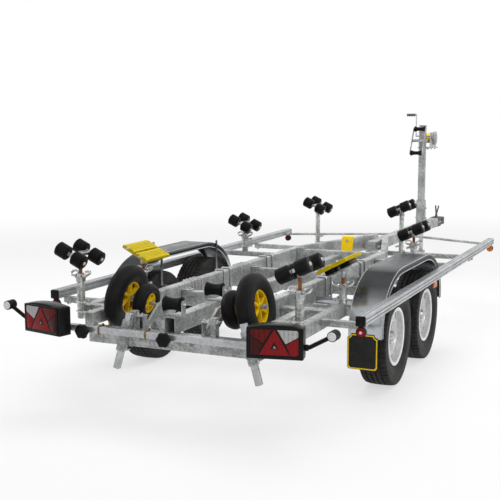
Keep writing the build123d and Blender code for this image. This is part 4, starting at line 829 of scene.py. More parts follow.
# Painted shade: the hull hubs' recessed web between the spokes, in a dark brownish yellow that
# stands for its shadow.
SHADED_WEB_YELLOW = Moulded(
    "yellow_web", "yellow_plastic", colour=(0.24, 0.11, 0.006, 1.0),
    dust=(0.12, 0.05, 0.006, 1.0), dust_amount=0.6, rough=(0.4, 0.55),
)
STRAP = Moulded(
    "yellow_strap", "yellow_plastic", colour=(0.86, 0.56, 0.01, 1.0), dust=(0.6, 0.36, 0.02, 1.0),
    dust_amount=0.5, rough=(0.6, 0.8), grain_scale=900.0, depth=0.0012,
)
BLACK_PLASTIC = Moulded(
    "black_plastic", "black_plastic", colour=grey(0.005), dust_amount=0.02,
    rough=(0.22, 0.34), specular=0.1,
)
WHITE_NYLON = Moulded(
    "white_nylon", "black_plastic", colour=grey(0.78, 0.02), dust=grey(0.5, 0.06), dust_amount=0.3,
)
RED_LENS = Lens("red_lens", "lamp_red")
SEAM_LENS = Lens(
    "lens_seams", "lamp_red", colour=(0.02, 0.001, 0.001, 1.0), deep=(0.008, 0.0, 0.0, 1.0),
)
DARK_RED_LENS = Lens(
    "dark_red_lens", "lamp_red", colour=(0.08, 0.002, 0.003, 1.0), deep=(0.03, 0.001, 0.001, 1.0),
)
BRIGHT_RED_LENS = Lens(
    "bright_red_lens", "lamp_red", colour=(0.36, 0.005, 0.009, 1.0),
    deep=(0.16, 0.002, 0.003, 1.0), optics_scale=260.0,
)
CLEAR_LENS = Lens("clear_lens", "lamp_red", grey(0.62), grey(0.30), optics_scale=210.0)
WHITE_LENS = Lens("white_lens", "lamp_red", grey(0.86), grey(0.62), optics_scale=240.0)
AMBER_LENS = Lens(
    "amber_lens", "marker_amber", colour=(0.86, 0.24, 0.012, 1.0), deep=(0.55, 0.11, 0.006, 1.0),
)


def piece(
    shape: Shape | Mesh,
    name: str,
    finish: Finish,
    body: str = CHASSIS,
    replaces: Iterable[str] = (),
    bevel: float = 0.0,
    smooth: float = 38.0,
) -> bpy.types.Object:
    """Turn a shape into a finished object that rides on a body.

    Args:
        shape: The corners and faces, or a mesh that is already joined.
        name: The piece's name.
        finish: Its surface.
        body: The body that carries it.
        replaces: The construction nodes that it stands for.
        bevel: The width of the bevel along sharp edges, or 0 for none.
        smooth: The angle in degrees above which an edge stays sharp.

    Returns:
        The object.
    """
    mesh = bpy.data.meshes.new(name)
    limit = math.radians(smooth)
    joined = shape
    if isinstance(shape, Shape):
        mesh.from_pydata([tuple(corner) for corner in shape.corners], [], shape.faces)
        joined = bmesh.new()
        joined.from_mesh(mesh)
        bmesh.ops.remove_doubles(joined, verts=joined.verts, dist=1e-6)
    bmesh.ops.dissolve_degenerate(joined, edges=joined.edges, dist=1e-7)
    bmesh.ops.recalc_face_normals(joined, faces=joined.faces)
    if bevel:
        inner = [edge for edge in joined.edges if len(edge.link_faces) == 2]
        sharp = [edge for edge in inner if edge.calc_face_angle() > limit]
        options = {"segments": 2, "profile": 0.5, "affect": "EDGES", "clamp_overlap": True}
        bmesh.ops.bevel(joined, geom=sharp, offset=bevel, **options)
    joined.to_mesh(mesh)
    joined.free()
    mesh.shade_smooth()
    mesh.set_sharp_from_angle(angle=limit)
    mesh.materials.append(finish.material())
    made = bpy.data.objects.new(name, mesh)
    bpy.context.scene.collection.objects.link(made)
    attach(made, body)
    nodes = tuple(replaces)
    if nodes:
        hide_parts(*nodes)
    log.info("%s: %d faces on %s", name, len(mesh.polygons), body)
    return made


def softened(node: str, finish: Finish, bevel: float, body: str = CHASSIS) -> bpy.types.Object:
    """Stand a copy of a node, with its edges rounded as on a rolled or cast piece, for the node."""
    return piece(welded(node), f"{node}_dressed", finish, body, (node,), bevel)


def dressed(node: str, finish: Finish) -> bpy.types.Object:
    """Give a construction node that keeps its own shape a finish."""
    made = frame["nodes"][node]
    made.data.materials.clear()
    made.data.materials.append(finish.material())
    log.info("%s keeps its shape", node)
    return made


@dataclass
class MainFrame:
    """Beams, cross members, outriggers and drawbar, with their clamps, straps and bolts."""

    edge: float = 0.006
    wire: float = 0.007
    nut: float = 0.012
    plate: float = 0.008
    clamp_back: float = 0.04
    clamp_spread: float = 0.052
    clamp_leg: float = 0.05
    clamp_plate: Triple = (0.022, 0.075, 0.040)
    strap_places: tuple[float, ...] = (0.23, 0.275, 0.32, 0.365)
    strap_half: float = 0.0065
    strap_proud: float = 0.009
    strap_bolt: Pair = (0.006, 0.022)
    member_plate: Pair = (0.034, 0.035)
    member_bolts: float = 0.016
    inner_end: float = 0.3
    bar_end: float = 0.012
    bar_inset: Triple = (0.004, 0.003, 0.004)
    bar_plates: Pair = (0.04, 0.14)
    bar_plate: Pair = (0.07, 0.036)
    bar_bolts: float = 0.042

    def build(self) -> None:
        """Make the frame's tubes and everything that bolts them together."""
        for node in ("main_beams", "keel_beam", "rear_beam", "drawbar"):
            along = Along.X if node == "rear_beam" else Along.Y
            shape = Shape()
            for beam in solids(node):
                shape.tube(beam.low, beam.high, along)
            piece(shape, f"{node}_tube", GALVANISED, replaces=(node,))
        for node in ("v_beams", "cross_members", "outriggers"):
            softened(node, GALVANISED, bevel=self.edge)
        self.axle_clamps()
        self.beam_straps()
        self.joint_plates()

    def axle_clamps(self) -> None:
        """Wrap square bolts round the main beams where the axles hang."""
        shape = Shape()
        margin, plate_half, drop = self.clamp_plate
        for beam in solids("main_beams"):
            half, leg = beam.size.x / 2, beam.size.z + self.clamp_leg
            for axle in solids("axles"):
                seat_y = axle.high.y - self.clamp_back
                for side in SIDES:
                    spot_y = seat_y + side * self.clamp_spread
                    crown = Vector((beam.middle.x, spot_y, beam.high.z + self.wire))
                    place = Place(crown, X_AXIS, Z_AXIS)
                    shape.u_bolt(place, half + self.wire, leg, self.wire, self.wire * 2.2)
                under = level(Vector((beam.middle.x, seat_y, beam.low.z - drop)))
                shape.slab(under, (half + margin, plate_half, self.plate / 2))
        piece(shape, "axle_clamp_bolts", BRIGHT_ZINC)

    def beam_straps(self) -> None:
        """Wrap bright straps round the main beams behind each wheel, with a bolt at each foot."""
        straps, bolts = Shape(), Shape()
        radius, rise = self.strap_bolt
        for beam in solids("main_beams"):
            half_x = beam.size.x / 2 + self.strap_proud
            half_z = (beam.size.z + self.strap_proud) / 2
            for axle in ("rear", "front"):
                for behind in self.strap_places:
                    spot_y = solid(f"tyre_{axle}_left").middle.y - behind
                    place = level(Vector((beam.middle.x, spot_y, beam.middle.z)))
                    straps.slab(place, (half_x, self.strap_half, half_z))
                    for side in SIDES:
                        seat = place.at(side * half_x, 0, rise - beam.size.z / 2)
                        bolts.fastener(seat, X_AXIS * side, radius)
        piece(straps, "beam_straps", BRIGHT_ZINC, bevel=0.0015)
        piece(bolts, "beam_strap_bolts", BRIGHT_ZINC)

    def joint_plates(self) -> None:
        """Bolt plates on the beams where the cross members and the drawbar meet them."""
        plates, bolts = Shape(), Shape()
        thick = self.plate / 2
        plate_half, inset = self.member_plate
        for member in solids("cross_members"):
            for end, side in ((member.low.x, -1), (member.high.x, 1)):
                if abs(end) < self.inner_end:
                    continue
                at = Vector((end - side * inset, member.middle.y, member.high.z + thick))
                place = level(at)
                plates.slab(place, (plate_half, member.size.y / 2, thick))
                for shift in SIDES:
                    spot = place.at(shift * self.member_bolts, 0, thick)
                    bolts.fastener(spot, Z_AXIS, self.nut * 0.7)
        bar = solid("drawbar")
        margin = Vector(self.bar_inset)
        end = Vector((bar.high.x, bar.low.y + self.bar_end, bar.high.z))
        plates.block(bar.low + margin, end - margin)
        for side in SIDES:
            for share in self.bar_plates:
                spot_y = bar.low.y + share * bar.size.y
                at = Vector((side * bar.high.x, spot_y, bar.middle.z))
                place = facing(at, X_AXIS * side)
                plates.slab(place, (*self.bar_plate, thick))
                for shift in SIDES:
                    bolts.fastener(place.at(shift * self.bar_bolts, 0, thick), place.out, self.nut)
        piece(plates, "joint_plates", GALVANISED, bevel=0.002)
        piece(bolts, "frame_bolts", BRIGHT_ZINC)


@dataclass
class RoadWheel:
    """A road wheel: a treaded tyre on a steel rim with its bolts, lip, cap and valve."""

    axle: str
    hand: Hand
    pitches: int = 56
    stops: int = 6
    cut_stops: int = 2
    edge_cut: float = 0.0055
    middle_cut: float = 0.0025
    grooves: Pair = (0.049, 0.016)
    groove_half: float = 0.0048
    groove_depth: float = 0.008
    groove_draft: float = 0.002
    block_edge: float = 0.016
    rib_edge: float = 0.021
    shoulder: float = 0.013
    crown: float = 0.005
    bead_half: float = 0.069
    bead_radius: float = 0.180
    bead_flare: float = 0.006
    wall_radius: float = 0.200
    wall_root: float = 0.004
    wall_inset: float = 0.0005
    wall_swell: float = 1.6
    wall_stops: int = 8
    ridge: float = 0.0012
    ridge_stops: tuple[int, ...] = (1, 6)
    bolt_count: int = 5
    bolt_circle: float = 0.057
    bolt: float = 0.0105
    hub_face: float = 0.021
    lip: Points = (
        (0.0705, 0.1925), (0.0780, 0.1920), (0.0788, 0.1890), (0.0768, 0.1830), (0.0768, 0.1712),
        (0.0705, 0.1712),
    )
    cap: Points = (
        (0.0212, 0.0), (0.0212, 0.0430), (0.0240, 0.0388), (0.0585, 0.0332), (0.0625, 0.0290),
        (0.0635, 0.0),
    )
    valve_root: Pair = (0.160, 0.040)
    valve_reach: Pair = (0.028, 0.006)
    valve_radius: float = 0.0042

    @property
    def tag(self) -> str:
        """Return the wheel's place as the nodes spell it."""
        return f"{self.axle}_{self.hand.word}"

    def build(self) -> None:
        """Make the tyre, dress the rim and add its small pieces."""
        body = f"wheel_{self.tag}"
        tyre = solid(f"tyre_{self.tag}")
        place = facing(tyre.middle, X_AXIS)
        profile, cuts = self.profile(tyre.size.x / 2, tyre.size.z / 2)
        steps = self.pitches * self.stops

        def relief(angle: float, index: int) -> float:
            """Return how far a tread block's edge is cut back at an angle."""
            phase = round(angle / math.tau * steps) % self.stops
            return -cuts[index] if phase < self.cut_stops else 0.0

        shape = Shape().spin(place, profile, steps, shut=True, relief=relief)
        name = f"tyre_{self.tag}"
        piece(shape, f"{name}_tread", ROAD_TYRE, body, (name,), smooth=30)
        dressed(f"rim_{self.tag}", SILVER_RIM)
        self.small_pieces(place, body)

    def profile(self, half: float, radius: float) -> tuple[Profile, list[float]]:
        """Draw the tyre's section.

        Args:
            half: Half the tyre's width.
            radius: The tyre's outer radius.

        Returns:
            The section's points and, for each, how deep the cross cuts go there.
        """
        edge, widest = radius - self.crown, half - self.wall_inset
        wall, root = edge - self.shoulder - self.wall_radius, self.bead_half + self.wall_root
        side = [(self.bead_half, self.bead_radius, 0.0)]
        side.append((self.bead_half + self.bead_flare, self.wall_radius - self.wall_root, 0.0))
        for stop in range(self.wall_stops + 1):
            share = stop / self.wall_stops
            swell = math.sin(QUARTER * min(1.0, self.wall_swell * share))
            ridge = self.ridge if stop in self.ridge_stops else 0.0
            along = root + (widest - root) * swell - ridge
            side.append((along, self.wall_radius + wall * share, 0.0))
        for angle in angles(0.0, QUARTER, 4)[1:]:
            along = widest - self.shoulder * (1 - math.cos(angle))
            side.append((along, edge - self.shoulder * (1 - math.sin(angle)), self.edge_cut))
        outer_groove, inner_groove = self.grooves
        rows = ((outer_groove, self.edge_cut, self.rib_edge), (inner_groove, self.middle_cut, 0.0))
        tread = [(half - self.shoulder - self.block_edge, 0.0, self.edge_cut)]
        for groove, outer_cut, rib_edge in rows:
            outer, inner = groove + self.groove_half, groove - self.groove_half
            tread.append((outer, 0.0, outer_cut))
            for along in (outer - self.groove_draft, inner + self.groove_draft):
                tread.append((along, self.groove_depth, 0.0))
            tread.append((inner, 0.0, self.middle_cut))
            tread.append(((inner + rib_edge) / 2, 0.0, self.middle_cut))
        for along, drop, cut in tread:
            side.append((along, edge + self.crown * (1 - (along / half) ** 2) - drop, cut))
        whole = [(-along, reach, cut) for along, reach, cut in side] + side[::-1]
        return [(along, reach) for along, reach, cut in whole], [cut for *point, cut in whole]

    def small_pieces(self, place: Place, body: str) -> None:
        """Add the wheel bolts, the rim's rolled lip, the grease cap and the valve."""
        out = X_AXIS * self.hand.value
        shape = Shape()
        reach = self.bolt_circle
        for angle in turns(self.bolt_count):
            at = place.at(reach * math.cos(angle), reach * math.sin(angle)) + out * self.hub_face
            shape.fastener(at, out, self.bolt)
        piece(shape, f"wheel_bolts_{self.tag}", BRIGHT_ZINC, body)
        face = facing(place.origin, out)
        lip = Shape().spin(face, self.lip, 72, shut=True)
        # The lip's paler finish is a painted highlight on the flange.
        piece(lip, f"rim_lip_{self.tag}", RIM_LIP_HIGHLIGHT, body)
        piece(Shape().spin(face, self.cap, 40), f"grease_cap_{self.tag}", MOTTLED_POST, body)
        circle, proud = self.valve_root
        reach, drop = self.valve_reach
        root = place.at(0.0, circle) + out * proud
        valve = Shape().bar(root, root + out * reach - Z_AXIS * drop, self.valve_radius)
        piece(valve, f"valve_{self.tag}", BLACK_PLASTIC, body)


@dataclass
class RunningGear:
    """The axle beams with their arms and brake plates, and the four wheels."""

    stub_radius: float = 0.020
    play: float = 0.0004

    def build(self) -> None:
        """Dress the axles, with a little play round their stubs, and make the wheels."""
        wheels = [RoadWheel(axle, hand) for axle in ("rear", "front") for hand in Hand]
        axles = welded("axles")
        for wheel in wheels:
            hub = solid(f"tyre_{wheel.tag}").middle
            for corner in axles.verts:
                off = Vector((0.0, corner.co.y - hub.y, corner.co.z - hub.z))
                if corner.co.x * hub.x > 0 and abs(off.length - self.stub_radius) < self.play:
                    corner.co -= off.normalized() * self.play
        piece(axles, "axles_dressed", GALVANISED, replaces=("axles",), bevel=0.003)
        for wheel in wheels:
            wheel.build()


@dataclass
class Mudguards:
    """The folded mudguards with rolled edges, bright beads along their edges and folds as painted
    highlight lines, their stays and the flaps behind them.
    """

    run: float = 0.500
    rise: float = 0.345
    edge_inset: float = 0.002
    lip: float = 0.036
    bead: float = 0.0048
    # Radius and depth of the thin bead along each fold: a painted highlight line.
    fold: float = 0.0026
    fold_depth: float = 0.0012
    bolt: float = 0.006
    bolt_drop: float = 0.020
    border: float = 0.007
    border_inset: float = 0.003
    border_proud: float = 0.0014
    notch: float = 0.024
    flap_corner: float = 0.012

    def build(self) -> None:
        """Dress both mudguards, the stays and the flaps."""
        edges_and_highlights, bolts = Shape(), Shape()
        for hand in Hand:
            node = f"mudguard_{hand.word}"
            softened(node, ZINC_SHEET, bevel=0.0012)
            guard = solid(node)
            for edge_x in (guard.low.x + self.edge_inset, guard.high.x - self.edge_inset):
                # Rolled edge and fold beads, in a finish brighter than the sheet: the rolled edge
                # is real; its brightness and the fold bead are painted highlight lines.
                edges_and_highlights.sweep(self.edge_line(guard, edge_x, self.lip), self.bead, 8)
                edges_and_highlights.sweep(self.edge_line(guard, edge_x, self.fold_depth), self.fold, 8)
            inner = guard.low.x if hand is Hand.RIGHT else guard.high.x
            for stay in solids("mudguard_stays"):
                if stay.side == hand.value:
                    at = Vector((inner, stay.middle.y, guard.high.z - self.bolt_drop))
                    bolts.fastener(at, X_AXIS * -hand.value, self.bolt, Head.ROUND)
        # A brighter finish than the sheet: painted highlight lines along the edges and folds.
        piece(edges_and_highlights, "mudguard_edges", GALVANISED_TUBE)
        softened("mudguard_stays", ZINC_SHEET, bevel=0.003)
        self.flaps()
        piece(bolts, "mudguard_bolts", BRIGHT_ZINC)

    def edge_line(self, guard: Solid, edge_x: float, depth: float) -> list[Vector]:
        """Return the path along a guard's side at a depth below its skin."""
        run, rise = self.run - depth, self.rise - depth
        spring = guard.high.z - self.rise
        line = [Vector((edge_x, guard.low.y + depth, guard.low.z))]
        rear, front = guard.low.y + self.run, guard.high.y - self.run
        for centre_y, start in ((rear, math.pi), (front, QUARTER)):
            for angle in angles(start, start - QUARTER, 30):
                along, up = centre_y + run * math.cos(angle), spring + rise * math.sin(angle)
                line.append(Vector((edge_x, along, up)))
        line.append(Vector((edge_x, guard.high.y - depth, guard.low.z)))
        return line

    def flaps(self) -> None:
        """Make the flaps with hollow top corners and a raised border."""
        boards, borders = Shape(), Shape()
        for flap in solids("mud_flaps"):
            half = flap.size.x / 2, flap.size.z / 2
            place = Place(Vector((flap.middle.x, flap.high.y, flap.middle.z)), X_AXIS, Z_AXIS)
            boards.prism(place, self.flap_outline(*half, 0.0), flap.size.y)
            front = place.moved(0, 0, flap.size.y)
            outer = self.flap_outline(*half, self.border_inset)
            inner = self.flap_outline(*half, self.border_inset + self.border)
            proud = self.border_proud
            rows = ((outer, 0.0), (outer, proud), (inner, proud), (inner, 0.0))
            borders.loft([[front.at(u, v, w) for u, v in ring] for ring, w in rows], loop=True)
        piece(boards, "mud_flap_boards", FLAP_RUBBER, replaces=("mud_flaps",), bevel=0.001)
        piece(borders, "mud_flap_borders", YELLOW)

    def flap_outline(self, half_u: float, half_v: float, inset: float) -> Profile:
        """Return a flap's outline, moved in by the inset, with its top corners hollowed."""
        u, v, corner = half_u - inset, half_v - inset, self.flap_corner
        hollow = self.notch + inset
        first = math.asin(inset / hollow)
        points = [(corner - u, -v), (u - corner, -v), (u, corner - v)]
        for side in (1, -1):
            for angle in angles(first, QUARTER - first, 6)[::side]:
                across = half_u - hollow * math.sin(angle)
                points.append((side * across, half_v - hollow * math.cos(angle)))
        return [*points, (-u, corner - v)]


@dataclass
class SideRails:
    """Grooved side rails with black end caps, hanging markers and the arms that carry them."""

    corner: float = 0.006
    groove: float = 0.006
    groove_half: float = 0.004
    groove_place: float = 0.011
    reflector_y: float = -1.16
    reflector_shift: Pair = (0.010, 0.042)
    reflector: Triple = (0.050, 0.021, 0.008)
    reflector_corner: float = 0.005
    tab: Triple = (0.030, 0.032, 0.002)
    tab_rise: float = 0.010
    dome: Points = (
        (0.0, 0.0), (0.0, 0.86), (0.002, 0.84), (0.0045, 0.55), (0.0055, 0.0),
    )
    centre: Points = ((0.0, 0.0), (0.0, 0.009), (0.0066, 0.008), (0.0070, 0.0))
    bolt: float = 0.008
    bolt_spread: float = 0.012
    bolt_inset: float = 0.030

    def build(self) -> None:
        """Make the rails and dress what hangs on them."""
        shape = Shape()
        for rail in solids("side_rails"):
            section = self.section(rail.size.x / 2, rail.size.z / 2)
            place = Place(rail.middle, X_AXIS, Z_AXIS)
            ends = (rail.size.y / 2, -rail.size.y / 2)
            shape.loft([[place.at(u, v, end) for u, v in section] for end in ends])
        piece(shape, "side_rail_extrusions", RAIL, replaces=("side_rails",), smooth=25)
        softened("rail_caps", BLACK_PLASTIC, bevel=0.003)
        softened("rail_arms", GALVANISED, bevel=0.004)
        self.markers()
        self.side_reflectors()
        self.arm_bolts()

    def section(self, half_u: float, half_v: float) -> Profile:
        """Return the rail's section: a rounded square with two grooves along each side."""
        floor, top, corner = half_u - self.groove, half_v - self.corner, self.corner * 0.3
        run = [(half_u, -top)]
        for middle in (-self.groove_place, self.groove_place):
            for share, reach in ((-1.0, half_u), (-0.5, floor), (0.5, floor), (1.0, half_u)):
                run.append((reach, middle + share * self.groove_half))
        run += [(half_u, top), (half_u - corner, half_v - corner)]
        points = []
        for angle in turns(4):
            cosine, sine = math.cos(angle), math.sin(angle)
            points.extend((u * cosine - v * sine, u * sine + v * cosine) for u, v in run)
        return points

    def markers(self) -> None:
        """Give the hanging markers their lenses: red behind, amber and dark ahead."""
        dressed("rail_markers", BLACK_PLASTIC)
        lenses = {finish: Shape() for finish in (BRIGHT_RED_LENS, AMBER_LENS, DARK_RED_LENS)}
        centres = Shape()
        for marker in solids("rail_markers"):
            rear = marker.middle.y < 0
            radius = marker.size.x / 2
            ahead = AMBER_LENS if marker.side > 0 else DARK_RED_LENS
            for face_y, out in ((marker.low.y, -Y_AXIS), (marker.high.y, Y_AXIS)):
                place = facing(Vector((marker.middle.x, face_y, marker.low.z + radius)), out)
                skin = [(along, radius * share) for along, share in self.dome]
                lenses[BRIGHT_RED_LENS if rear else ahead].spin(place, skin, 28)
                if rear:
                    centres.spin(place, self.centre, 20)
        for finish, shape in lenses.items():
            piece(shape, f"marker_lenses_{finish.name}", finish)
        piece(centres, "marker_centres", WHITE_LENS)

    def side_reflectors(self) -> None:
        """Hang an amber reflector on a tab under each rail, beside the front wheel."""
        amber, tabs = Shape(), Shape()
        inward, drop = self.reflector_shift
        half_u, half_v, thick = self.reflector
        for rail in solids("side_rails"):
            x, z = rail.middle.x - rail.side * inward, rail.low.z - drop
            place = Place(Vector((x, self.reflector_y, z)), Y_AXIS * rail.side, Z_AXIS)
            amber.prism(place, rounded_box(half_u, half_v, self.reflector_corner), thick)
            tabs.slab(place.moved(0, self.tab_rise, -self.tab[2]), self.tab)
        piece(amber, "side_reflectors", AMBER_LENS, bevel=0.0015)
        piece(tabs, "side_reflector_tabs", BLACK_PLASTIC)

    def arm_bolts(self) -> None:
        """Clamp the rails to their arms with bolts from below."""
        bolts = Shape()
        for arm in solids("rail_arms"):
            outer_x = arm.high.x if arm.side > 0 else arm.low.x
            for shift in SIDES:
                spot_y = arm.middle.y + shift * self.bolt_spread
                at = Vector((outer_x - arm.side * self.bolt_inset, spot_y, arm.low.z))
                bolts.fastener(at, -Z_AXIS, self.bolt)
        piece(bolts, "rail_arm_bolts", BRIGHT_ZINC)


@dataclass
class Cradle:
    """Posts with their rusty spindles, the roller heads, the hull pads and the keel stop."""

    head_tilt: float = math.radians(25)
    roller_radius: float = 0.045
    roller_half: float = 0.042
    roller_end: float = 0.006
    roller_shares: Pair = (0.74, 0.90)
    roller_ribs: int = 8
    rib: Points = ((0.06, 0.0016), (0.26, 0.0), (0.74, 0.0), (0.94, 0.0016))
    axle_cap: Points = (
        (0.0, 0.0), (0.0, 0.011), (0.004, 0.0105), (0.0075, 0.007), (0.0082, 0.0),
    )
    post_widest: float = 0.09
    post_shortest: float = 0.1
    post_bolts: Pair = (0.045, 0.105)
    post_bolt_gap: float = 0.004
    post_bolt_past: float = 0.03
    post_wire: float = 0.0045
    post_gap: float = 0.005
    collar_depth: float = 0.022
    collar_edge: float = 0.002
    collar_top: float = 0.0005
    collar_face: float = 0.006
    thread_pitch: float = 0.004
    thread_depth: float = 0.0016
    spindle_radius: float = 0.012
    nut_radius: float = 0.025
    nut_top: float = 0.024
    nut_foot: float = 0.006
    nut_collar: Pair = (0.0375, 0.004)
    nut_chamfer: Pair = (0.0215, 0.003)
    wing_wire: float = 0.0072
    wing_root: float = 0.020
    wing_past: float = 0.006
    wing_lift: float = 0.0248
    wing_rise: float = math.radians(8)
    wing_lean: float = math.radians(32)
    pad_tilt: float = math.radians(28)
    board_half: float = 0.0125
    board_stations: int = 20
    board_notch: float = 0.006
    notch_stops: Points = ((0.12, 0.0), (0.30, 1.0), (0.70, 1.0), (0.88, 0.0))
    board_groove: float = 0.004
    board_margin: float = 0.005
    board_edge: Pair = (0.003, 0.004)
    screw: float = 0.008
    board_ribs: int = 6
    board_rib: Points = ((0.02, 0.0), (0.62, 0.0), (0.72, 1.0), (0.92, 1.0))
    screw_spread: float = 0.17
    stop_thick: float = 0.030
    stop_play: float = 0.0005
    stop_bolts: Points = ((0.80, 0.0), (0.22, -0.026), (0.22, 0.026))
    stop_bolt: float = 0.009
    stop_rib: Pair = (0.005, 0.036)
    stop_rib_ends: Pair = (0.06, 0.94)

    def build(self) -> None:
        """Make all that holds the hull up, apart from its wheels."""
        softened("posts", MOTTLED_POST, bevel=0.0025)
        self.post_clamps()
        self.spindles()
        softened("roller_frames", GALVANISED_TUBE, bevel=0.0025)
        self.rollers()
        self.boards()
        softened("pad_blocks", BLACK_PLASTIC, bevel=0.005)
        self.keel_stop()

    def post_clamps(self) -> None:
        """Hold the round posts to the outriggers by round bolts, and collar their tops."""
        bolts, collars = Shape(), Shape()
        for post in solids("posts"):
            if post.size.x > self.post_widest or post.size.z < self.post_shortest:
                continue
            radius = min(post.size.x, post.size.y) / 2
            outer = radius + self.post_gap
            foot = Vector((post.middle.x, post.middle.y, post.low.z))
            low, edge, top = -self.collar_depth, -self.collar_edge, self.collar_top
            ring = [(low, radius), (low, outer), (edge, outer), (top, radius - self.collar_face)]
            head = facing(foot + Z_AXIS * post.size.z, Z_AXIS)
            collars.spin(head, [*ring, (top, 0.0)], 28)
            side, leg = X_AXIS * post.side, radius * 2 + self.post_bolt_past
            for rise in self.post_bolts:
                crown = foot + Z_AXIS * rise + side * (radius + self.post_bolt_gap)
                bolts.u_bolt(Place(crown, Y_AXIS, side), outer, leg, self.post_wire, outer)
        piece(bolts, "post_clamp_bolts", BRIGHT_ZINC)
        piece(collars, "post_collars", GALVANISED_TUBE)

    def spindles(self) -> None:
        """Cut threads on the spindles and give each a nut with two round wings."""
        rods, nuts = Shape(), Shape()
        root = self.spindle_radius - self.thread_depth
        thread = ((0.0, root), (0.5, self.spindle_radius))
        for spindle in solids("spindles"):
            foot = Vector((spindle.middle.x, spindle.middle.y, spindle.low.z))
            place = facing(foot, Z_AXIS)
            count = int(spindle.size.z / self.thread_pitch)
            run = count * self.thread_pitch
            skin = [(share * run, reach) for share, reach in ribbed(count, thread)]
            rods.turned(place, [*skin, (spindle.size.z, root)], 14)
            self.wing_nut(place, spindle, nuts)
        piece(rods, "threaded_spindles", RUST, replaces=("spindles",), smooth=50)
        piece(nuts, "wing_nuts", BRIGHT_ZINC, smooth=40)

    def wing_nut(self, place: Place, spindle: Solid, nuts: Shape) -> None:
        """Add one spindle's nut: a collar, six flats and a leaning loop on each side."""
        foot, top, radius = self.nut_foot, self.nut_top, self.nut_radius
        collar, thick = self.nut_collar
        face, chamfer = self.nut_chamfer
        nuts.turned(place, [(0.0, collar), (thick, collar), (foot, radius)], 28)
        nuts.turned(place, [(foot, radius), (top - chamfer, radius), (top, face)], 6)
        wide = spindle.size.x > spindle.size.y
        across, beside = (X_AXIS, Y_AXIS) if wide else (Y_AXIS, X_AXIS)
        span = max(spindle.size.x, spindle.size.y) / 2 + self.wing_past
        reach = (span - self.wing_root) / 2
        leaning = beside * math.cos(self.wing_lean) + Z_AXIS * math.sin(self.wing_lean)
        for side in SIDES:
            away = across * side
            outward = away * math.cos(self.wing_rise) + Z_AXIS * math.sin(self.wing_rise)
            middle = place.origin + away * (self.wing_root + reach) + Z_AXIS * self.wing_lift
            path = []
            for angle in turns(20):
                spoke = outward * math.cos(angle) + leaning * math.sin(angle)
                path.append(middle + spoke * reach)
            nuts.sweep(path, self.wing_wire, 8, loop=True)

    def rollers(self) -> None:
        """Mould ribs on the head rollers and cap the ends of their axles."""
        rubber, caps = Shape(), Shape()
        half, radius = self.roller_half, self.roller_radius
        inner = half - self.roller_end
        face, shoulder = self.roller_shares
        end = [(-half, radius * face), (-inner, radius * shoulder)]
        runs = ribbed(self.roller_ribs, self.rib)
        ribs = [(inner * (2 * share - 1), radius - drop) for share, drop in runs]
        skin = end + ribs + mirrored(end)
        for roller in solids("head_rollers"):
            rise = roller.side * math.sin(self.head_tilt)
            place = facing(roller.middle, Vector((math.cos(self.head_tilt), 0, rise)))
            rubber.turned(place, skin, 36)
            for side in SIDES:
                caps.spin(facing(place.at(0, 0, side * half), place.out * side), self.axle_cap, 16)
        piece(rubber, "ribbed_head_rollers", ROLLER_RUBBER, replaces=("head_rollers",))
        piece(caps, "roller_axle_caps", WHITE_NYLON)

    def boards(self) -> None:
        """Mould the pad boards with grooves along them and notches in their edges."""
        shape, screws = Shape(), Shape()
        cosine, sine = math.cos(self.pad_tilt), math.sin(self.pad_tilt)
        last = self.board_stations
        for board in solids("pad_boards"):
            half_w = (board.size.x - 2 * self.board_half * sine) / 2 / cosine
            across = Vector((cosine, 0, board.side * sine))
            place = Place(board.middle, across, Vector((-board.side * sine, 0, cosine)))
            rings = []
            for station in range(last + 1):
                for share, depth in self.notch_stops:
                    notch = self.board_notch * depth if 0 < station < last else 0.0
                    shift = board.size.y * (0.5 - (station + share) / (last + 1))
                    section = self.board_section(half_w, notch)
                    rings.append([place.at(u, v, shift) for u, v in section])
            shape.loft(rings)
            for side in SIDES:
                seat = place.at(0.0, self.board_half - self.board_groove, side * self.screw_spread)
                screws.fastener(seat, place.up, self.screw, Head.ROUND)
        piece(shape, "ribbed_pad_boards", PAD_YELLOW, replaces=("pad_boards",), smooth=25)
        piece(screws, "pad_screws", BRIGHT_ZINC)

    def board_section(self, half_w: float, notch: float) -> Profile:
        """Return a board's section, with its sides moved in by a notch and its top grooved."""
        side, half = half_w - notch, self.board_half
        inner = half_w - self.board_notch - self.board_margin
        top = []
        for share, drop in ribbed(self.board_ribs, self.board_rib):
            top.append((inner * (1 - 2 * share), half - drop * self.board_groove))
        low, high = self.board_edge
        flank = [(side - low, -half), (side, low - half), (side, half - high)]
        under, *left = reversed(mirrored(flank))
        return [under, *flank, *top, *reversed(left)]

    def keel_stop(self) -> None:
        """Round the keel stop and put its bolts and ribs on."""
        softened("keel_stop", YELLOW, bevel=0.004)
        stop = solid("keel_stop")
        bolts, ribs = Shape(), Shape()
        lean = Vector((0, stop.size.y - self.stop_thick, stop.size.z))
        play = self.stop_play
        for share, shift in self.stop_bolts:
            slant = play + (lean.y - 2 * play) * share
            at = Vector((shift, stop.low.y + slant, stop.low.z + lean.z * share))
            bolts.fastener(at, -Y_AXIS, self.stop_bolt, Head.ROUND)
        piece(bolts, "keel_stop_bolts", BRIGHT_ZINC)
        radius, spread = self.stop_rib
        low, high = self.stop_rib_ends
        for side in SIDES:
            foot = Vector((side * spread, stop.low.y, stop.low.z))
            ribs.bar(foot + lean * low, foot + lean * high, radius)
        piece(ribs, "keel_stop_ribs", YELLOW)


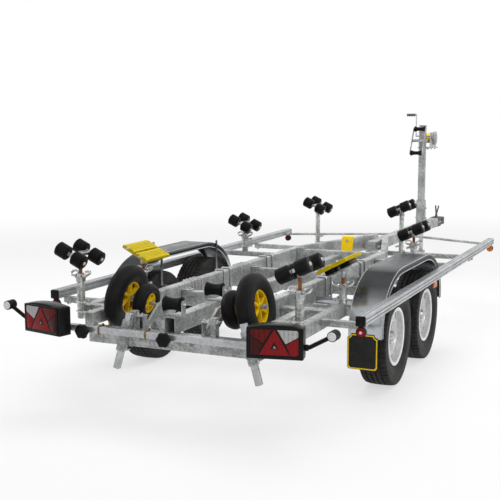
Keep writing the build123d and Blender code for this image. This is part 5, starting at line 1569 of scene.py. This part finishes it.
@dataclass
class HullWheels:
    """The twin hull wheels of one side: ribbed tyres on spoked yellow hubs."""

    hand: Hand
    spokes: int = 6
    spoke_halves: Pair = (0.010, 0.0065)
    spoke_roots: Pair = (0.002, 0.001)
    spoke_depth: float = 0.8
    fit: float = 0.0003
    bead_share: float = 0.62
    large_from: float = 0.15
    tyre_halves: Pair = (0.0425, 0.050)
    axle_radius: float = 0.0125
    boss_radius: float = 0.024
    rim: float = 0.010
    disc_half: float = 0.004
    crown: float = 0.009
    ribs: int = 7
    rib: Points = ((0.05, 0.0028), (0.22, 0.0), (0.78, 0.0), (0.95, 0.0028))

    def build(self) -> None:
        """Make the tyres and the hubs."""
        tag = self.hand.word
        body = f"hull_wheels_{tag}"
        axis = joint_axis(f"{body}_spin")[1]
        tyres, hubs, webs = Shape(), Shape(), Shape()
        for tyre, hub in zip(solids(f"hull_tyres_{tag}"), solids(f"hull_hubs_{tag}")):
            radius, bore = tyre.size.y / 2, hub.size.y / 2
            half = self.tyre_halves[radius > self.large_from]
            place = facing(tyre.middle, axis)
            tyres.spin(place, self.tyre_profile(half, radius, bore), 64, shut=True)
            self.hub(place, half * self.bead_share, bore, hubs, webs)
        tyre_node, hub_node = f"hull_tyres_{tag}", f"hull_hubs_{tag}"
        piece(tyres, f"ribbed_{tyre_node}", HULL_TYRE, body, (tyre_node,), smooth=32)
        piece(hubs, f"spoked_{hub_node}", YELLOW, body, (hub_node,), bevel=0.0012)
        # The web's dark yellow is painted shade in the recess between the spokes.
        piece(webs, f"hull_hub_webs_{tag}", SHADED_WEB_YELLOW, body)

    def tyre_profile(self, half: float, radius: float, hub: float) -> Profile:
        """Return a hull tyre's section with round ribs on its tread."""
        bead, edge = half * self.bead_share, radius - self.crown
        middle, reach = (hub + edge) / 2, (edge - hub) / 2
        side = [(bead, hub + self.fit)]
        for angle in angles(0.0, math.pi, 10)[1:-1]:
            side.append((bead + (half - bead) * math.sin(angle), middle - reach * math.cos(angle)))
        tread = []
        for share, drop in ribbed(self.ribs, self.rib):
            along = bead * (1 - 2 * share)
            tread.append((along, radius - self.crown * (along / bead) ** 2 - drop))
        return side + tread + mirrored(side)

    def hub(self, place: Place, bead: float, radius: float, hubs: Shape, webs: Shape) -> None:
        """Add one hub: rim, boss and spokes on both sides of a recessed web."""
        in_boss, in_rim = self.spoke_roots
        inner, outer = self.boss_radius - in_boss, radius - self.rim + in_rim
        rows = (
            (hubs, bead, radius - self.rim, radius, 56),
            (hubs, bead, self.axle_radius, self.boss_radius, 32),
            (webs, self.disc_half, inner, outer, 40),
        )
        for shape, half, low, high, steps in rows:
            ring = [(-half, low), (-half, high), (half, high), (half, low)]
            shape.spin(place, ring, steps, shut=True)
        wide, slim = self.spoke_halves
        depth = bead * self.spoke_depth
        outline = [(inner, -wide), (outer, -slim), (outer, slim), (inner, wide)]
        for spoke in range(self.spokes):
            angle = math.tau * (spoke + 0.5) / self.spokes
            away = place.across * math.cos(angle) + place.up * math.sin(angle)
            arm = Place(place.at(0, 0, -depth), away, place.out.cross(away))
            hubs.prism(arm, outline, depth * 2)


@dataclass
class WaistedRoller:
    """A rubber roller that narrows to its middle, with ribs and end bosses."""

    node: str
    waist: float
    boss_share: float = 0.8
    edge: Pair = (0.003, 0.001)
    margin: float = 0.004
    ribs: int = 9
    rib: Points = ((0.1, 0.0025), (0.3, 0.0), (0.7, 0.0), (0.9, 0.0025))

    def build(self) -> None:
        """Make the roller in place of its node."""
        roller = solid(self.node)
        half, radius = roller.size.x / 2, roller.size.z / 2
        inset, drop = self.edge
        end = [(-half, radius * self.boss_share), (inset - half, radius - drop)]
        skin = list(end)
        for share, depth in ribbed(self.ribs, self.rib):
            along = (2 * share - 1) * (half - self.margin)
            skin.append((along, self.waist + (radius - self.waist) * (along / half) ** 2 - depth))
        shape = Shape().turned(facing(roller.middle, X_AXIS), skin + mirrored(end), 40)
        piece(shape, f"{self.node}_ribbed", ROLLER_RUBBER, self.node, (self.node,))


@dataclass(frozen=True)
class LensField:
    """One coloured field of a tail lamp's lens, drawn for the right hand."""

    name: str
    finish: Finish
    outline: Points
    proud: float = 0.0


@dataclass
class RearEnd:
    """Rear brackets, keel rollers, prop stands, light bar, tail lamps and marker arms."""

    keel_waist: float = 0.034
    axle_nut: Pair = (0.012, 0.048)
    pin_nut: Pair = (0.009, 0.011)
    stand_inset: float = 0.006
    stand_rows: tuple[Triple, ...] = ((0.190, 0.195, 0.084), (0.243, 0.278, 0.108))
    strap_run: Pair = (0.186, 0.294)
    strap_rise: Pair = (0.078, 0.086)
    strap_past: float = 0.004
    strap_bolts: Triple = (0.202, 0.230, 0.286)
    strap_bolt: Pair = (0.009, 0.012)
    stand_bolts: Pair = (0.20, 0.27)
    stand_bolt: Pair = (0.011, 0.035)
    sleeve_half: float = 0.023
    grip_along: float = 0.042
    grip_half: float = 0.020
    grip_radii: Triple = (0.010, 0.005, 0.004)
    bar_wall: Pair = (0.003, 0.005)
    bar_bolts: Pair = (-0.415, -0.105)
    bar_wire: float = 0.0036
    bar_gap: float = 0.004
    bar_bolt_past: float = 0.022
    bar_bend: float = 0.010
    knob_shares: tuple[float, ...] = (0.42, 0.92, 1.0, 1.0, 0.82, 0.5)
    knob_edges: Triple = (0.004, 0.006, 0.001)
    knob_lobes: int = 6
    lobe_points: tuple[int, ...] = (2, 3, 4)
    lobe_share: float = 0.07
    neck_share: float = 0.42
    lamp_turn: float = math.radians(12)
    lens_half: Pair = (0.131, 0.0725)
    lens_corner: float = 0.012
    lens_base: float = 0.0044
    lens_depth: float = 0.006
    bezel: Pair = (0.003, 0.0042)
    lens_fields: tuple[LensField, ...] = (
        LensField(
            "clear", CLEAR_LENS,
            ((0.015, 0.067), (0.118, 0.067), (0.125, 0.060), (0.125, 0.032), (0.059, -0.006)),
        ),
        LensField(
            "reverse", BRIGHT_RED_LENS,
            ((0.062, -0.010), (0.125, 0.027), (0.125, -0.060), (0.118, -0.067), (0.086, -0.067)),
        ),
        LensField(
            "stop", RED_LENS,
            ((-0.015, 0.067), (-0.059, -0.006), (-0.125, 0.040), (-0.125, 0.060), (-0.118, 0.067)),
        ),
        LensField(
            "tail", DARK_RED_LENS,
            (
                (-0.062, -0.010), (-0.086, -0.067), (-0.118, -0.067), (-0.125, -0.060),
                (-0.125, 0.034),
            ),
        ),
        LensField("triangle", BRIGHT_RED_LENS, ((0.0, 0.069), (0.081, -0.067), (-0.081, -0.067))),
        LensField(
            "inner_triangle", SEAM_LENS, ((0.0, 0.004), (0.021, -0.034), (-0.021, -0.034)), 0.0012
        ),
        # A white spot on the dark inner triangle: a painted highlight.
        LensField(
            "inner_spot", WHITE_LENS, ((0.0, -0.014), (0.010, -0.031), (-0.010, -0.031)), 0.0012
        ),
    )
    stalk_root: Triple = (0.150, -0.030, -0.044)
    stalk_sleeve: Pair = (0.022, 0.017)
    stalk_turns: int = 14
    stalk_rib: Points = ((0.0, 0.0098), (0.25, 0.0122), (0.65, 0.0122), (0.9, 0.0098))
    head_radius: float = 0.028
    head_length: float = 0.064
    head_skin: Points = (
        (0.0, 0.025), (0.003, 0.028), (0.024, 0.028), (0.026, 0.026),
        (0.038, 0.026), (0.040, 0.028), (0.061, 0.028), (0.064, 0.025),
    )
    head_dome: Points = (
        (0.0, 0.0), (0.0, 0.0235), (0.003, 0.022), (0.0065, 0.012), (0.0072, 0.0),
    )

    def build(self) -> None:
        """Make everything that hangs behind the frame."""
        softened("rear_brackets", GALVANISED, bevel=0.003)
        for place in ("rear", "front"):
            WaistedRoller(f"keel_roller_{place}", self.keel_waist).build()
        self.axle_nuts()
        self.axle_stands()
        self.prop_stands()
        self.light_bar()
        self.lamps()
        self.marker_arms()

    def axle_nuts(self) -> None:
        """Put pale lock nuts on the hull axles and on the keel rollers' pins."""
        nuts, pins = Shape(), Shape()
        radius, reach = self.axle_nut
        for hand in Hand:
            at, axis = joint_axis(f"hull_wheels_{hand.word}_spin")
            axis = axis if axis.x * hand.value > 0 else -axis
            nuts.fastener(at + axis * reach, axis, radius)
        piece(nuts, "hull_axle_nuts", BRIGHT_ZINC)
        radius, reach = self.pin_nut
        for place in ("rear", "front"):
            roller = solid(f"keel_roller_{place}")
            for side in SIDES:
                out = X_AXIS * side
                pins.fastener(roller.middle + out * (roller.size.x / 2 + reach), out, radius)
        piece(pins, "keel_roller_nuts", BRIGHT_ZINC)

    def axle_stands(self) -> None:
        """Stand a tube, a plate and a bolted strap on the rear beam at each hull axle's foot."""
        stands, bolts = Shape(), Shape()
        beam = solid("rear_beam")
        low_y, high_y = beam.low.y + self.stand_inset, beam.high.y - self.stand_inset
        foot = beam.high.z
        under, over = self.strap_rise
        rows = [(inner, outer, 0.0, tall, 0.0) for inner, outer, tall in self.stand_rows]
        rows.append((*self.strap_run, under, over, self.strap_past))
        strap_radius, inset = self.strap_bolt
        stand_radius, drop = self.stand_bolt
        for side in SIDES:
            for inner, outer, low, high, margin in rows:
                near, far = sorted((side * inner, side * outer))
                start = Vector((near, low_y - margin, foot + low))
                stands.block(start, Vector((far, high_y + margin, foot + high)))
            for spot in self.strap_bolts:
                at = Vector((side * spot, low_y + inset, foot + over))
                bolts.fastener(at, Z_AXIS, strap_radius)
            for spot in self.stand_bolts:
                at = Vector((side * spot, beam.low.y, foot - drop))
                bolts.fastener(at, -Y_AXIS, stand_radius)
        piece(stands, "hull_axle_stands", GALVANISED, bevel=0.002)
        piece(bolts, "hull_axle_stand_bolts", BRIGHT_ZINC)

    def prop_stands(self) -> None:
        """Round the prop legs' edges and put T-handled bolts in their clamps."""
        bolts = Shape()
        nut, shank, rod = self.grip_radii
        for hand in Hand:
            node = f"prop_leg_{hand.word}"
            softened(node, GALVANISED_TUBE, bevel=0.004, body=node)
            axis = joint_axis(f"{node}_slide")[1]
            beside = Y_AXIS.cross(axis)
            beside = beside if beside.x > 0 else -beside
            grip = solid(node).middle + axis * self.grip_along + beside * self.sleeve_half
            bolts.fastener(grip, beside, nut)
            stem, handle = grip + beside * self.grip_half, Y_AXIS * self.grip_half
            bolts.bar(grip, stem, shank)
            bolts.bar(stem - handle, stem + handle, rod)
        piece(bolts, "prop_clamp_bolts", BRIGHT_ZINC)

    def light_bar(self) -> None:
        """Make the light bar's tube, the bronze bolts that hold it and its lobed knobs."""
        bar = solid("light_bar")
        tube = Shape().tube(bar.low, bar.high, Along.X, *self.bar_wall)
        piece(tube, "light_bar_tube", GALVANISED_TUBE, replaces=("light_bar",))
        bolts, knobs = Shape(), Shape()
        for spot in self.bar_bolts:
            crown = Vector((spot, bar.low.y - self.bar_gap, bar.middle.z))
            half, leg = bar.size.z / 2 + self.bar_gap, bar.size.y + self.bar_bolt_past
            place = Place(crown, Z_AXIS, -Y_AXIS)
            bolts.u_bolt(place, half, leg, self.bar_wire, self.bar_bend)
        piece(bolts, "light_bar_bolts", BRONZE_BOLT)
        for knob in solids("bar_knobs"):
            radius, depth = knob.size.x / 2, knob.size.y
            place = facing(Vector((knob.middle.x, knob.high.y, knob.middle.z)), -Y_AXIS)

            def lobes(angle: float, index: int) -> float:
                """Return how far the knob's rim dips between its lobes."""
                dip = radius * self.lobe_share * (1 - math.cos(angle * self.knob_lobes))
                return -dip if index in self.lobe_points else 0.0

            neck = depth * self.neck_share
            under, over, rim = self.knob_edges
            stops = (0.0, neck, neck + under, depth - over, depth - rim, depth)
            skin = [(along, radius * share) for along, share in zip(stops, self.knob_shares)]
            knobs.turned(place, skin, 48, lobes)
        piece(knobs, "lobed_knobs", BLACK_PLASTIC, replaces=("bar_knobs",))

    def lamp_place(self, hand: Hand) -> Place:
        """Return the frame of a tail lamp's face: across to the right, up, and out to the rear."""
        lens = next(lens for lens in solids("lamp_lenses") if lens.side == hand.value)
        across = Vector((math.cos(self.lamp_turn), hand.value * math.sin(self.lamp_turn), 0))
        return Place(lens.middle, across, Z_AXIS).moved(0, 0, -self.lens_depth / 2)

    def lamps(self) -> None:
        """Make the tail lamps: housing, bezel, and a lens with its coloured fields."""
        softened("lamp_housings", BLACK_PLASTIC, bevel=0.006)
        base, bezel = Shape(), Shape()
        fields = [Shape() for _ in self.lens_fields]
        half_u, half_v = self.lens_half
        margin, wire = self.bezel
        for hand in Hand:
            place = self.lamp_place(hand)
            base.prism(place, rounded_box(half_u, half_v, self.lens_corner), self.lens_base)
            rim = rounded_box(half_u + margin, half_v + margin, self.lens_corner + margin)
            bezel.sweep([place.at(u, v, margin) for u, v in rim], wire, 8, loop=True)
            top = place.moved(0, 0, self.lens_base)
            for shape, part in zip(fields, self.lens_fields):
                drawn = [(hand.value * u, v) for u, v in part.outline]
                proud = self.lens_depth - self.lens_base + part.proud
                shape.prism(top, drawn if hand is Hand.LEFT else drawn[::-1], proud)
        piece(base, "lamp_lens_base", SEAM_LENS, replaces=("lamp_lenses",), bevel=0.002)
        piece(bezel, "lamp_bezels", BLACK_PLASTIC)
        for shape, part in zip(fields, self.lens_fields):
            piece(shape, f"lamp_field_{part.name}", part.finish, bevel=0.0006)

    def marker_arms(self) -> None:
        """Make the ribbed rubber stalks with their marker heads and lenses."""
        rubber, white, amber = Shape(), Shape(), Shape()
        radius, half = self.head_radius, Y_AXIS * self.head_length / 2
        length, sleeve = self.stalk_sleeve
        root_u, root_v, root_w = self.stalk_root
        for arm, hand in zip(solids("marker_arms"), Hand):
            outer = arm.high.x if hand is Hand.RIGHT else arm.low.x
            head = Vector((outer - hand.value * radius, arm.low.y, arm.high.z - radius)) + half
            place = self.lamp_place(hand)
            root = place.at(hand.value * root_u, root_v, root_w)
            start = root + place.across * hand.value * length
            rubber.bar(root, start, sleeve)
            run = head - start
            ribs = ribbed(self.stalk_turns, self.stalk_rib)
            stalk = [(run.length * share, reach) for share, reach in ribs]
            rubber.spin(facing(start, run), [(0.0, 0.0), *stalk, (run.length, 0.0)], 16)
            rubber.turned(facing(head - half, Y_AXIS), self.head_skin, 28)
            white.spin(facing(head - half, -Y_AXIS), self.head_dome, 24)
            amber.spin(facing(head + half, Y_AXIS), self.head_dome, 24)
        piece(rubber, "marker_stalks", ROLLER_RUBBER, replaces=("marker_arms",))
        piece(white, "marker_white_lenses", WHITE_LENS)
        piece(amber, "marker_front_lenses", AMBER_LENS)


@dataclass
class FrontEnd:
    """Winch post, bow rollers, winch, coupling, handbrake and jockey wheel."""

    post_size: float = 0.070
    post_cap: float = 0.008
    post_corner: float = 0.009
    sleeve_top: float = 0.880
    sleeve_wall: Pair = (0.008, 0.010)
    sleeve_bolts: Pair = (0.06, 0.17)
    sleeve_bolt: float = 0.012
    bow_waist: float = 0.020
    strap_half: float = 0.048
    strap_folds: int = 6
    strap_reach: Pair = (0.0548, 0.0560)
    strap_end: Pair = (0.049, 0.03)
    grip_drop: float = 0.014
    grip_length: float = 0.098
    grip_rings: int = 9
    grip_rib: Points = ((0.1, 0.0140), (0.3, 0.0158), (0.7, 0.0158), (0.9, 0.0140))
    grip_ends: tuple[Pair, Pair] = ((0.0, 0.011), (0.099, 0.012))
    gear_radii: Pair = (0.076, 0.034)
    gear_cover: Triple = (0.016, 0.020, 0.006)
    winch_bolts: Triple = (0.12, 0.5, 0.88)
    winch_bolt: Pair = (0.009, 0.040)
    shaft_z: float = 0.570
    hitch_bolts: Pair = (0.08, 0.30)
    hitch_bolt: Pair = (0.011, 0.046)
    bellows_start: float = 0.190
    bellows_length: float = 0.066
    bellows_folds: int = 6
    bellows_fold: Points = ((0.0, 0.033), (0.5, 0.043))
    tyre_bead: Pair = (0.7, 0.56)
    tyre_wall: Pair = (0.64, 0.014)
    tread_stops: int = 8
    tread_share: float = 0.96
    tread_crown: float = 0.010
    tread_groove: float = 0.002
    hub_radii: Triple = (0.010, 0.022, 0.026)
    hub_web: Pair = (0.4, 0.50)
    hub_rim: Pair = (0.75, 0.57)

    def build(self) -> None:
        """Make everything on the drawbar."""
        self.post()
        softened("bow_frame", GALVANISED, bevel=0.003)
        for place in ("upper", "lower"):
            WaistedRoller(f"bow_roller_{place}", self.bow_waist).build()
        self.winch()
        self.hitch()
        self.jockey()

    def post(self) -> None:
        """Make the winch post's tubes, its cap and the bolts through its sleeve."""
        post = solid("winch_post")
        half = self.post_size / 2
        middle, shoulder = post.middle, post.high.z - self.post_cap
        low = Vector((middle.x - half, middle.y - half, post.low.z))
        shape = Shape().tube(low, Vector((middle.x + half, middle.y + half, shoulder)), Along.Z)
        top = Vector((post.high.x, post.high.y, self.sleeve_top))
        shape.tube(post.low, top, Along.Z, *self.sleeve_wall)
        piece(shape, "winch_post_tubes", GALVANISED, replaces=("winch_post",))
        seat = level(Vector((middle.x, middle.y, shoulder)))
        cap = Shape().prism(seat, rounded_box(half, half, self.post_corner), self.post_cap)
        piece(cap, "winch_post_cap", BLACK_PLASTIC, bevel=0.002)
        bolts = Shape()
        for rise in self.sleeve_bolts:
            for side in SIDES:
                at = Vector((middle.x + side * post.size.x / 2, middle.y, post.low.z + rise))
                bolts.fastener(at, X_AXIS * side, self.sleeve_bolt)
        piece(bolts, "winch_post_bolts", BRIGHT_ZINC)

    def winch(self) -> None:
        """Make the winch: frame, drum with its wound strap, gear cover and crank grip."""
        softened("winch_frame", GALVANISED_TUBE, bevel=0.002)
        dressed("winch_drum", BRIGHT_ZINC)
        drum, crank, case = (solid(f"winch_{name}") for name in ("drum", "crank", "frame"))
        end = [self.strap_end]
        wound = mirrored(end)
        for fold in range(self.strap_folds + 1):
            along = self.strap_half * (2 * fold / self.strap_folds - 1)
            wound.append((along, self.strap_reach[fold % 2]))
        strap = Shape().spin(facing(drum.middle, X_AXIS), wound + end, 48)
        piece(strap, "wound_strap", STRAP, "winch_drum")
        softened("winch_crank", BRIGHT_ZINC, bevel=0.0015, body="winch_crank")
        start = Vector((crank.low.x, crank.middle.y, crank.high.z - self.grip_drop))
        rings = ribbed(self.grip_rings, self.grip_rib)
        inner, outer = self.grip_ends
        skin = [inner, *((self.grip_length * share, reach) for share, reach in rings), outer]
        grip = Shape().turned(facing(start, X_AXIS), skin, 24)
        piece(grip, "crank_grip", BLACK_PLASTIC, "winch_crank")
        cover, bolts = Shape(), Shape()
        shaft = joint_axis("winch_crank_turn")[0]
        edge, face, chamfer = self.gear_cover
        for centre, radius in zip((drum.middle, shaft), self.gear_radii):
            place = facing(Vector((case.high.x, centre.y, centre.z)), X_AXIS)
            cover.turned(place, [(0, radius), (edge, radius), (face, radius - chamfer)], 40)
        piece(cover, "winch_gear_cover", GALVANISED)
        bolt, spread = self.winch_bolt
        for share in self.winch_bolts:
            for side in SIDES:
                at = Vector((side * spread, case.low.y + share * case.size.y, case.low.z))
                bolts.fastener(at, -Z_AXIS, bolt)
        piece(bolts, "winch_bolts", BRIGHT_ZINC)

    def hitch(self) -> None:
        """Dress the coupling and levers, and put the bellows over the overrun shaft."""
        softened("coupling", DARK_CAST, bevel=0.004)
        softened("handbrake", DARK_CAST, bevel=0.002)
        hitch = solid("coupling")
        start = Vector((0, hitch.low.y + self.bellows_start, self.shaft_z))
        length = self.bellows_length
        folds = ribbed(self.bellows_folds, self.bellows_fold)
        skin = [(length * share, reach) for share, reach in folds]
        skin.append((length, self.bellows_fold[0][1]))
        gaiter = Shape().turned(facing(start, Y_AXIS), skin)
        piece(gaiter, "overrun_bellows", FLAP_RUBBER, smooth=60)
        bolts = Shape()
        bolt, spread = self.hitch_bolt
        for share in self.hitch_bolts:
            for side in SIDES:
                at = Vector((side * spread, hitch.low.y + share * hitch.size.y, self.shaft_z))
                bolts.fastener(at, X_AXIS * side, bolt)
        piece(bolts, "coupling_bolts", BRIGHT_ZINC)

    def jockey(self) -> None:
        """Dress the jockey wheel's clamp, tube and fork, and make its tyre and hub."""
        softened("jockey_clamp", GALVANISED_TUBE, bevel=0.002)
        softened("jockey_tube", BRIGHT_ZINC, bevel=0.0015, body="jockey_tube")
        softened("jockey_fork", GALVANISED, bevel=0.0015, body="jockey_fork")
        wheel = solid("jockey_wheel")
        half, radius = wheel.size.x / 2, wheel.size.z / 2
        place = facing(wheel.middle, X_AXIS)
        (bead, bore), (wall, shoulder) = self.tyre_bead, self.tyre_wall
        side = [(half * bead, radius * bore), (half, radius * wall), (half, radius - shoulder)]
        tread = []
        for stop in range(self.tread_stops + 1):
            along = half * (1 - 2 * stop / self.tread_stops)
            groove = self.tread_groove if stop % 2 else 0.0
            reach = radius - self.tread_crown * (along / half) ** 2 - groove
            tread.append((along * self.tread_share, reach))
        shape = Shape().spin(place, side + tread + mirrored(side), 56, shut=True)
        piece(shape, "jockey_tyre", HULL_TYRE, "jockey_wheel", ("jockey_wheel",))
        axle, boss, flange = self.hub_radii
        (web, web_reach), (rim, rim_reach) = self.hub_web, self.hub_rim
        hub = [(-half, axle), (-half, boss), (-half * web, flange)]
        hub += [(-half * web, radius * web_reach), (-half * rim, radius * rim_reach)]
        disc = Shape().spin(place, hub + mirrored(hub), 40, shut=True)
        piece(disc, "jockey_hub", BRIGHT_ZINC, "jockey_wheel")


@dataclass
class Studio:
    """Floor, light and camera."""

    eye: Triple = (2.551, -7.817, 1.686)
    turn: Triple = (QUARTER - 0.1309, 0.0, 0.4252)
    lens: float = 66.85
    sensor: float = 36.0
    clip_end: float = 300.0
    floor_half: float = 60.0
    floor_tone: Colour = grey(0.80, 0.003)
    near_white: float = 0.62
    white_from: Pair = (3.5, 11.0)
    fill_strength: float = 0.42
    aim: Triple = (0.0, -0.6, 0.5)

    def build(self) -> None:
        """Set up all that the object is seen with."""
        bpy.context.scene.view_settings.view_transform = "Standard"
        self.camera()
        self.floor()
        self.world()
        self.lamps()

    @staticmethod
    def added(name: str, data: bpy.types.ID) -> bpy.types.Object:
        """Put a camera, a light or a mesh into the scene."""
        made = bpy.data.objects.new(name, data)
        bpy.context.scene.collection.objects.link(made)
        return made

    def camera(self) -> None:
        """Place the camera where the photograph was taken from."""
        data = bpy.data.cameras.new("photo_camera")
        data.lens, data.sensor_width, data.sensor_height = self.lens, self.sensor, self.sensor
        data.clip_end = self.clip_end
        made = self.added("photo_camera", data)
        made.location, made.rotation_euler = self.eye, self.turn
        bpy.context.scene.camera = made

    def floor(self) -> None:
        """Lay a pale floor that keeps the shadow and fades to white for the camera."""
        half = self.floor_half
        mesh = bpy.data.meshes.new("floor")
        corners = [(-half, -half, 0), (half, -half, 0), (half, half, 0), (-half, half, 0)]
        mesh.from_pydata(corners, [], [(0, 1, 2, 3)])
        self.added("floor", mesh)
        material = bpy.data.materials.new("floor")
        material.use_nodes = True
        nodes = material.node_tree.nodes
        wiring = Wiring(material.node_tree)
        shader = nodes["Principled BSDF"]
        surface = {"Base Color": self.floor_tone, "Roughness": 0.9, "Specular IOR Level": 0.1}
        wiring.fill(shader, surface)
        reach = wiring.node("VectorMath", {0: wiring.spot()}, operation="LENGTH").outputs["Value"]
        far = wiring.ramp(reach, *self.white_from, self.near_white, 1.0)
        share = wiring.math("MULTIPLY", far, self.seen(wiring))
        glow = wiring.node("Emission", {"Color": WHITE, "Strength": 1.0})
        parts = {0: share, 1: shader.outputs[0], 2: glow.outputs[0]}
        mix = wiring.node("MixShader", parts)
        wiring.fill(nodes["Material Output"], {"Surface": mix.outputs[0]})
        mesh.materials.append(material)

    @staticmethod
    def seen(wiring: Wiring) -> Socket:
        """Return 1 for rays that show the room: to the camera, in a gloss or through glass."""
        rays = wiring.node("LightPath", {}).outputs
        gloss = wiring.math("MAXIMUM", rays["Is Camera Ray"], rays["Is Glossy Ray"])
        return wiring.math("MAXIMUM", gloss, rays["Is Transmission Ray"])

    def world(self) -> None:
        """Fill the room with even light, and show it white."""
        world = bpy.data.worlds.new("studio")
        bpy.context.scene.world = world
        world.use_nodes = True
        nodes = world.node_tree.nodes
        wiring = Wiring(world.node_tree)
        fill = nodes["Background"]
        wiring.fill(fill, {"Color": WHITE, "Strength": self.fill_strength})
        white = wiring.node("Background", {"Color": WHITE, "Strength": 1.0})
        parts = {0: self.seen(wiring), 1: fill.outputs[0], 2: white.outputs[0]}
        mix = wiring.node("MixShader", parts)
        wiring.fill(nodes["World Output"], {"Surface": mix.outputs[0]})

    def lamps(self) -> None:
        """Hang three soft lights: one overhead, a key at the right and a fill at the left."""
        # Name, place, power in watts, size, and whether glossy surfaces mirror it.
        rows = (
            ("top_light", (0.5, 0.0, 7.5), 560.0, 7.0, False),
            ("key_light", (6.0, -6.0, 5.0), 150.0, 4.0, True),
            ("fill_light", (-6.5, -3.0, 4.0), 110.0, 4.0, True),
        )
        for name, at, power, size, shows in rows:
            data = bpy.data.lights.new(name, "AREA")
            data.energy, data.size = power, size
            made = self.added(name, data)
            made.location, made.visible_glossy = at, shows
            aim = Vector(self.aim) - Vector(at)
            made.rotation_euler = aim.to_track_quat("-Z", "Y").to_euler()


def main() -> None:
    """Build the studio and every sub-assembly in order."""
    logging.basicConfig(level=logging.INFO, format="%(name)s: %(message)s")
    chassis = (MainFrame(), RunningGear(), Mudguards(), SideRails(), Cradle())
    hull_wheels = (HullWheels(Hand.LEFT), HullWheels(Hand.RIGHT))
    for assembly in (Studio(), *chassis, *hull_wheels, RearEnd(), FrontEnd()):
        log.info("building %s", type(assembly).__name__)
        assembly.build()


if __name__ == "__main__":
    main()
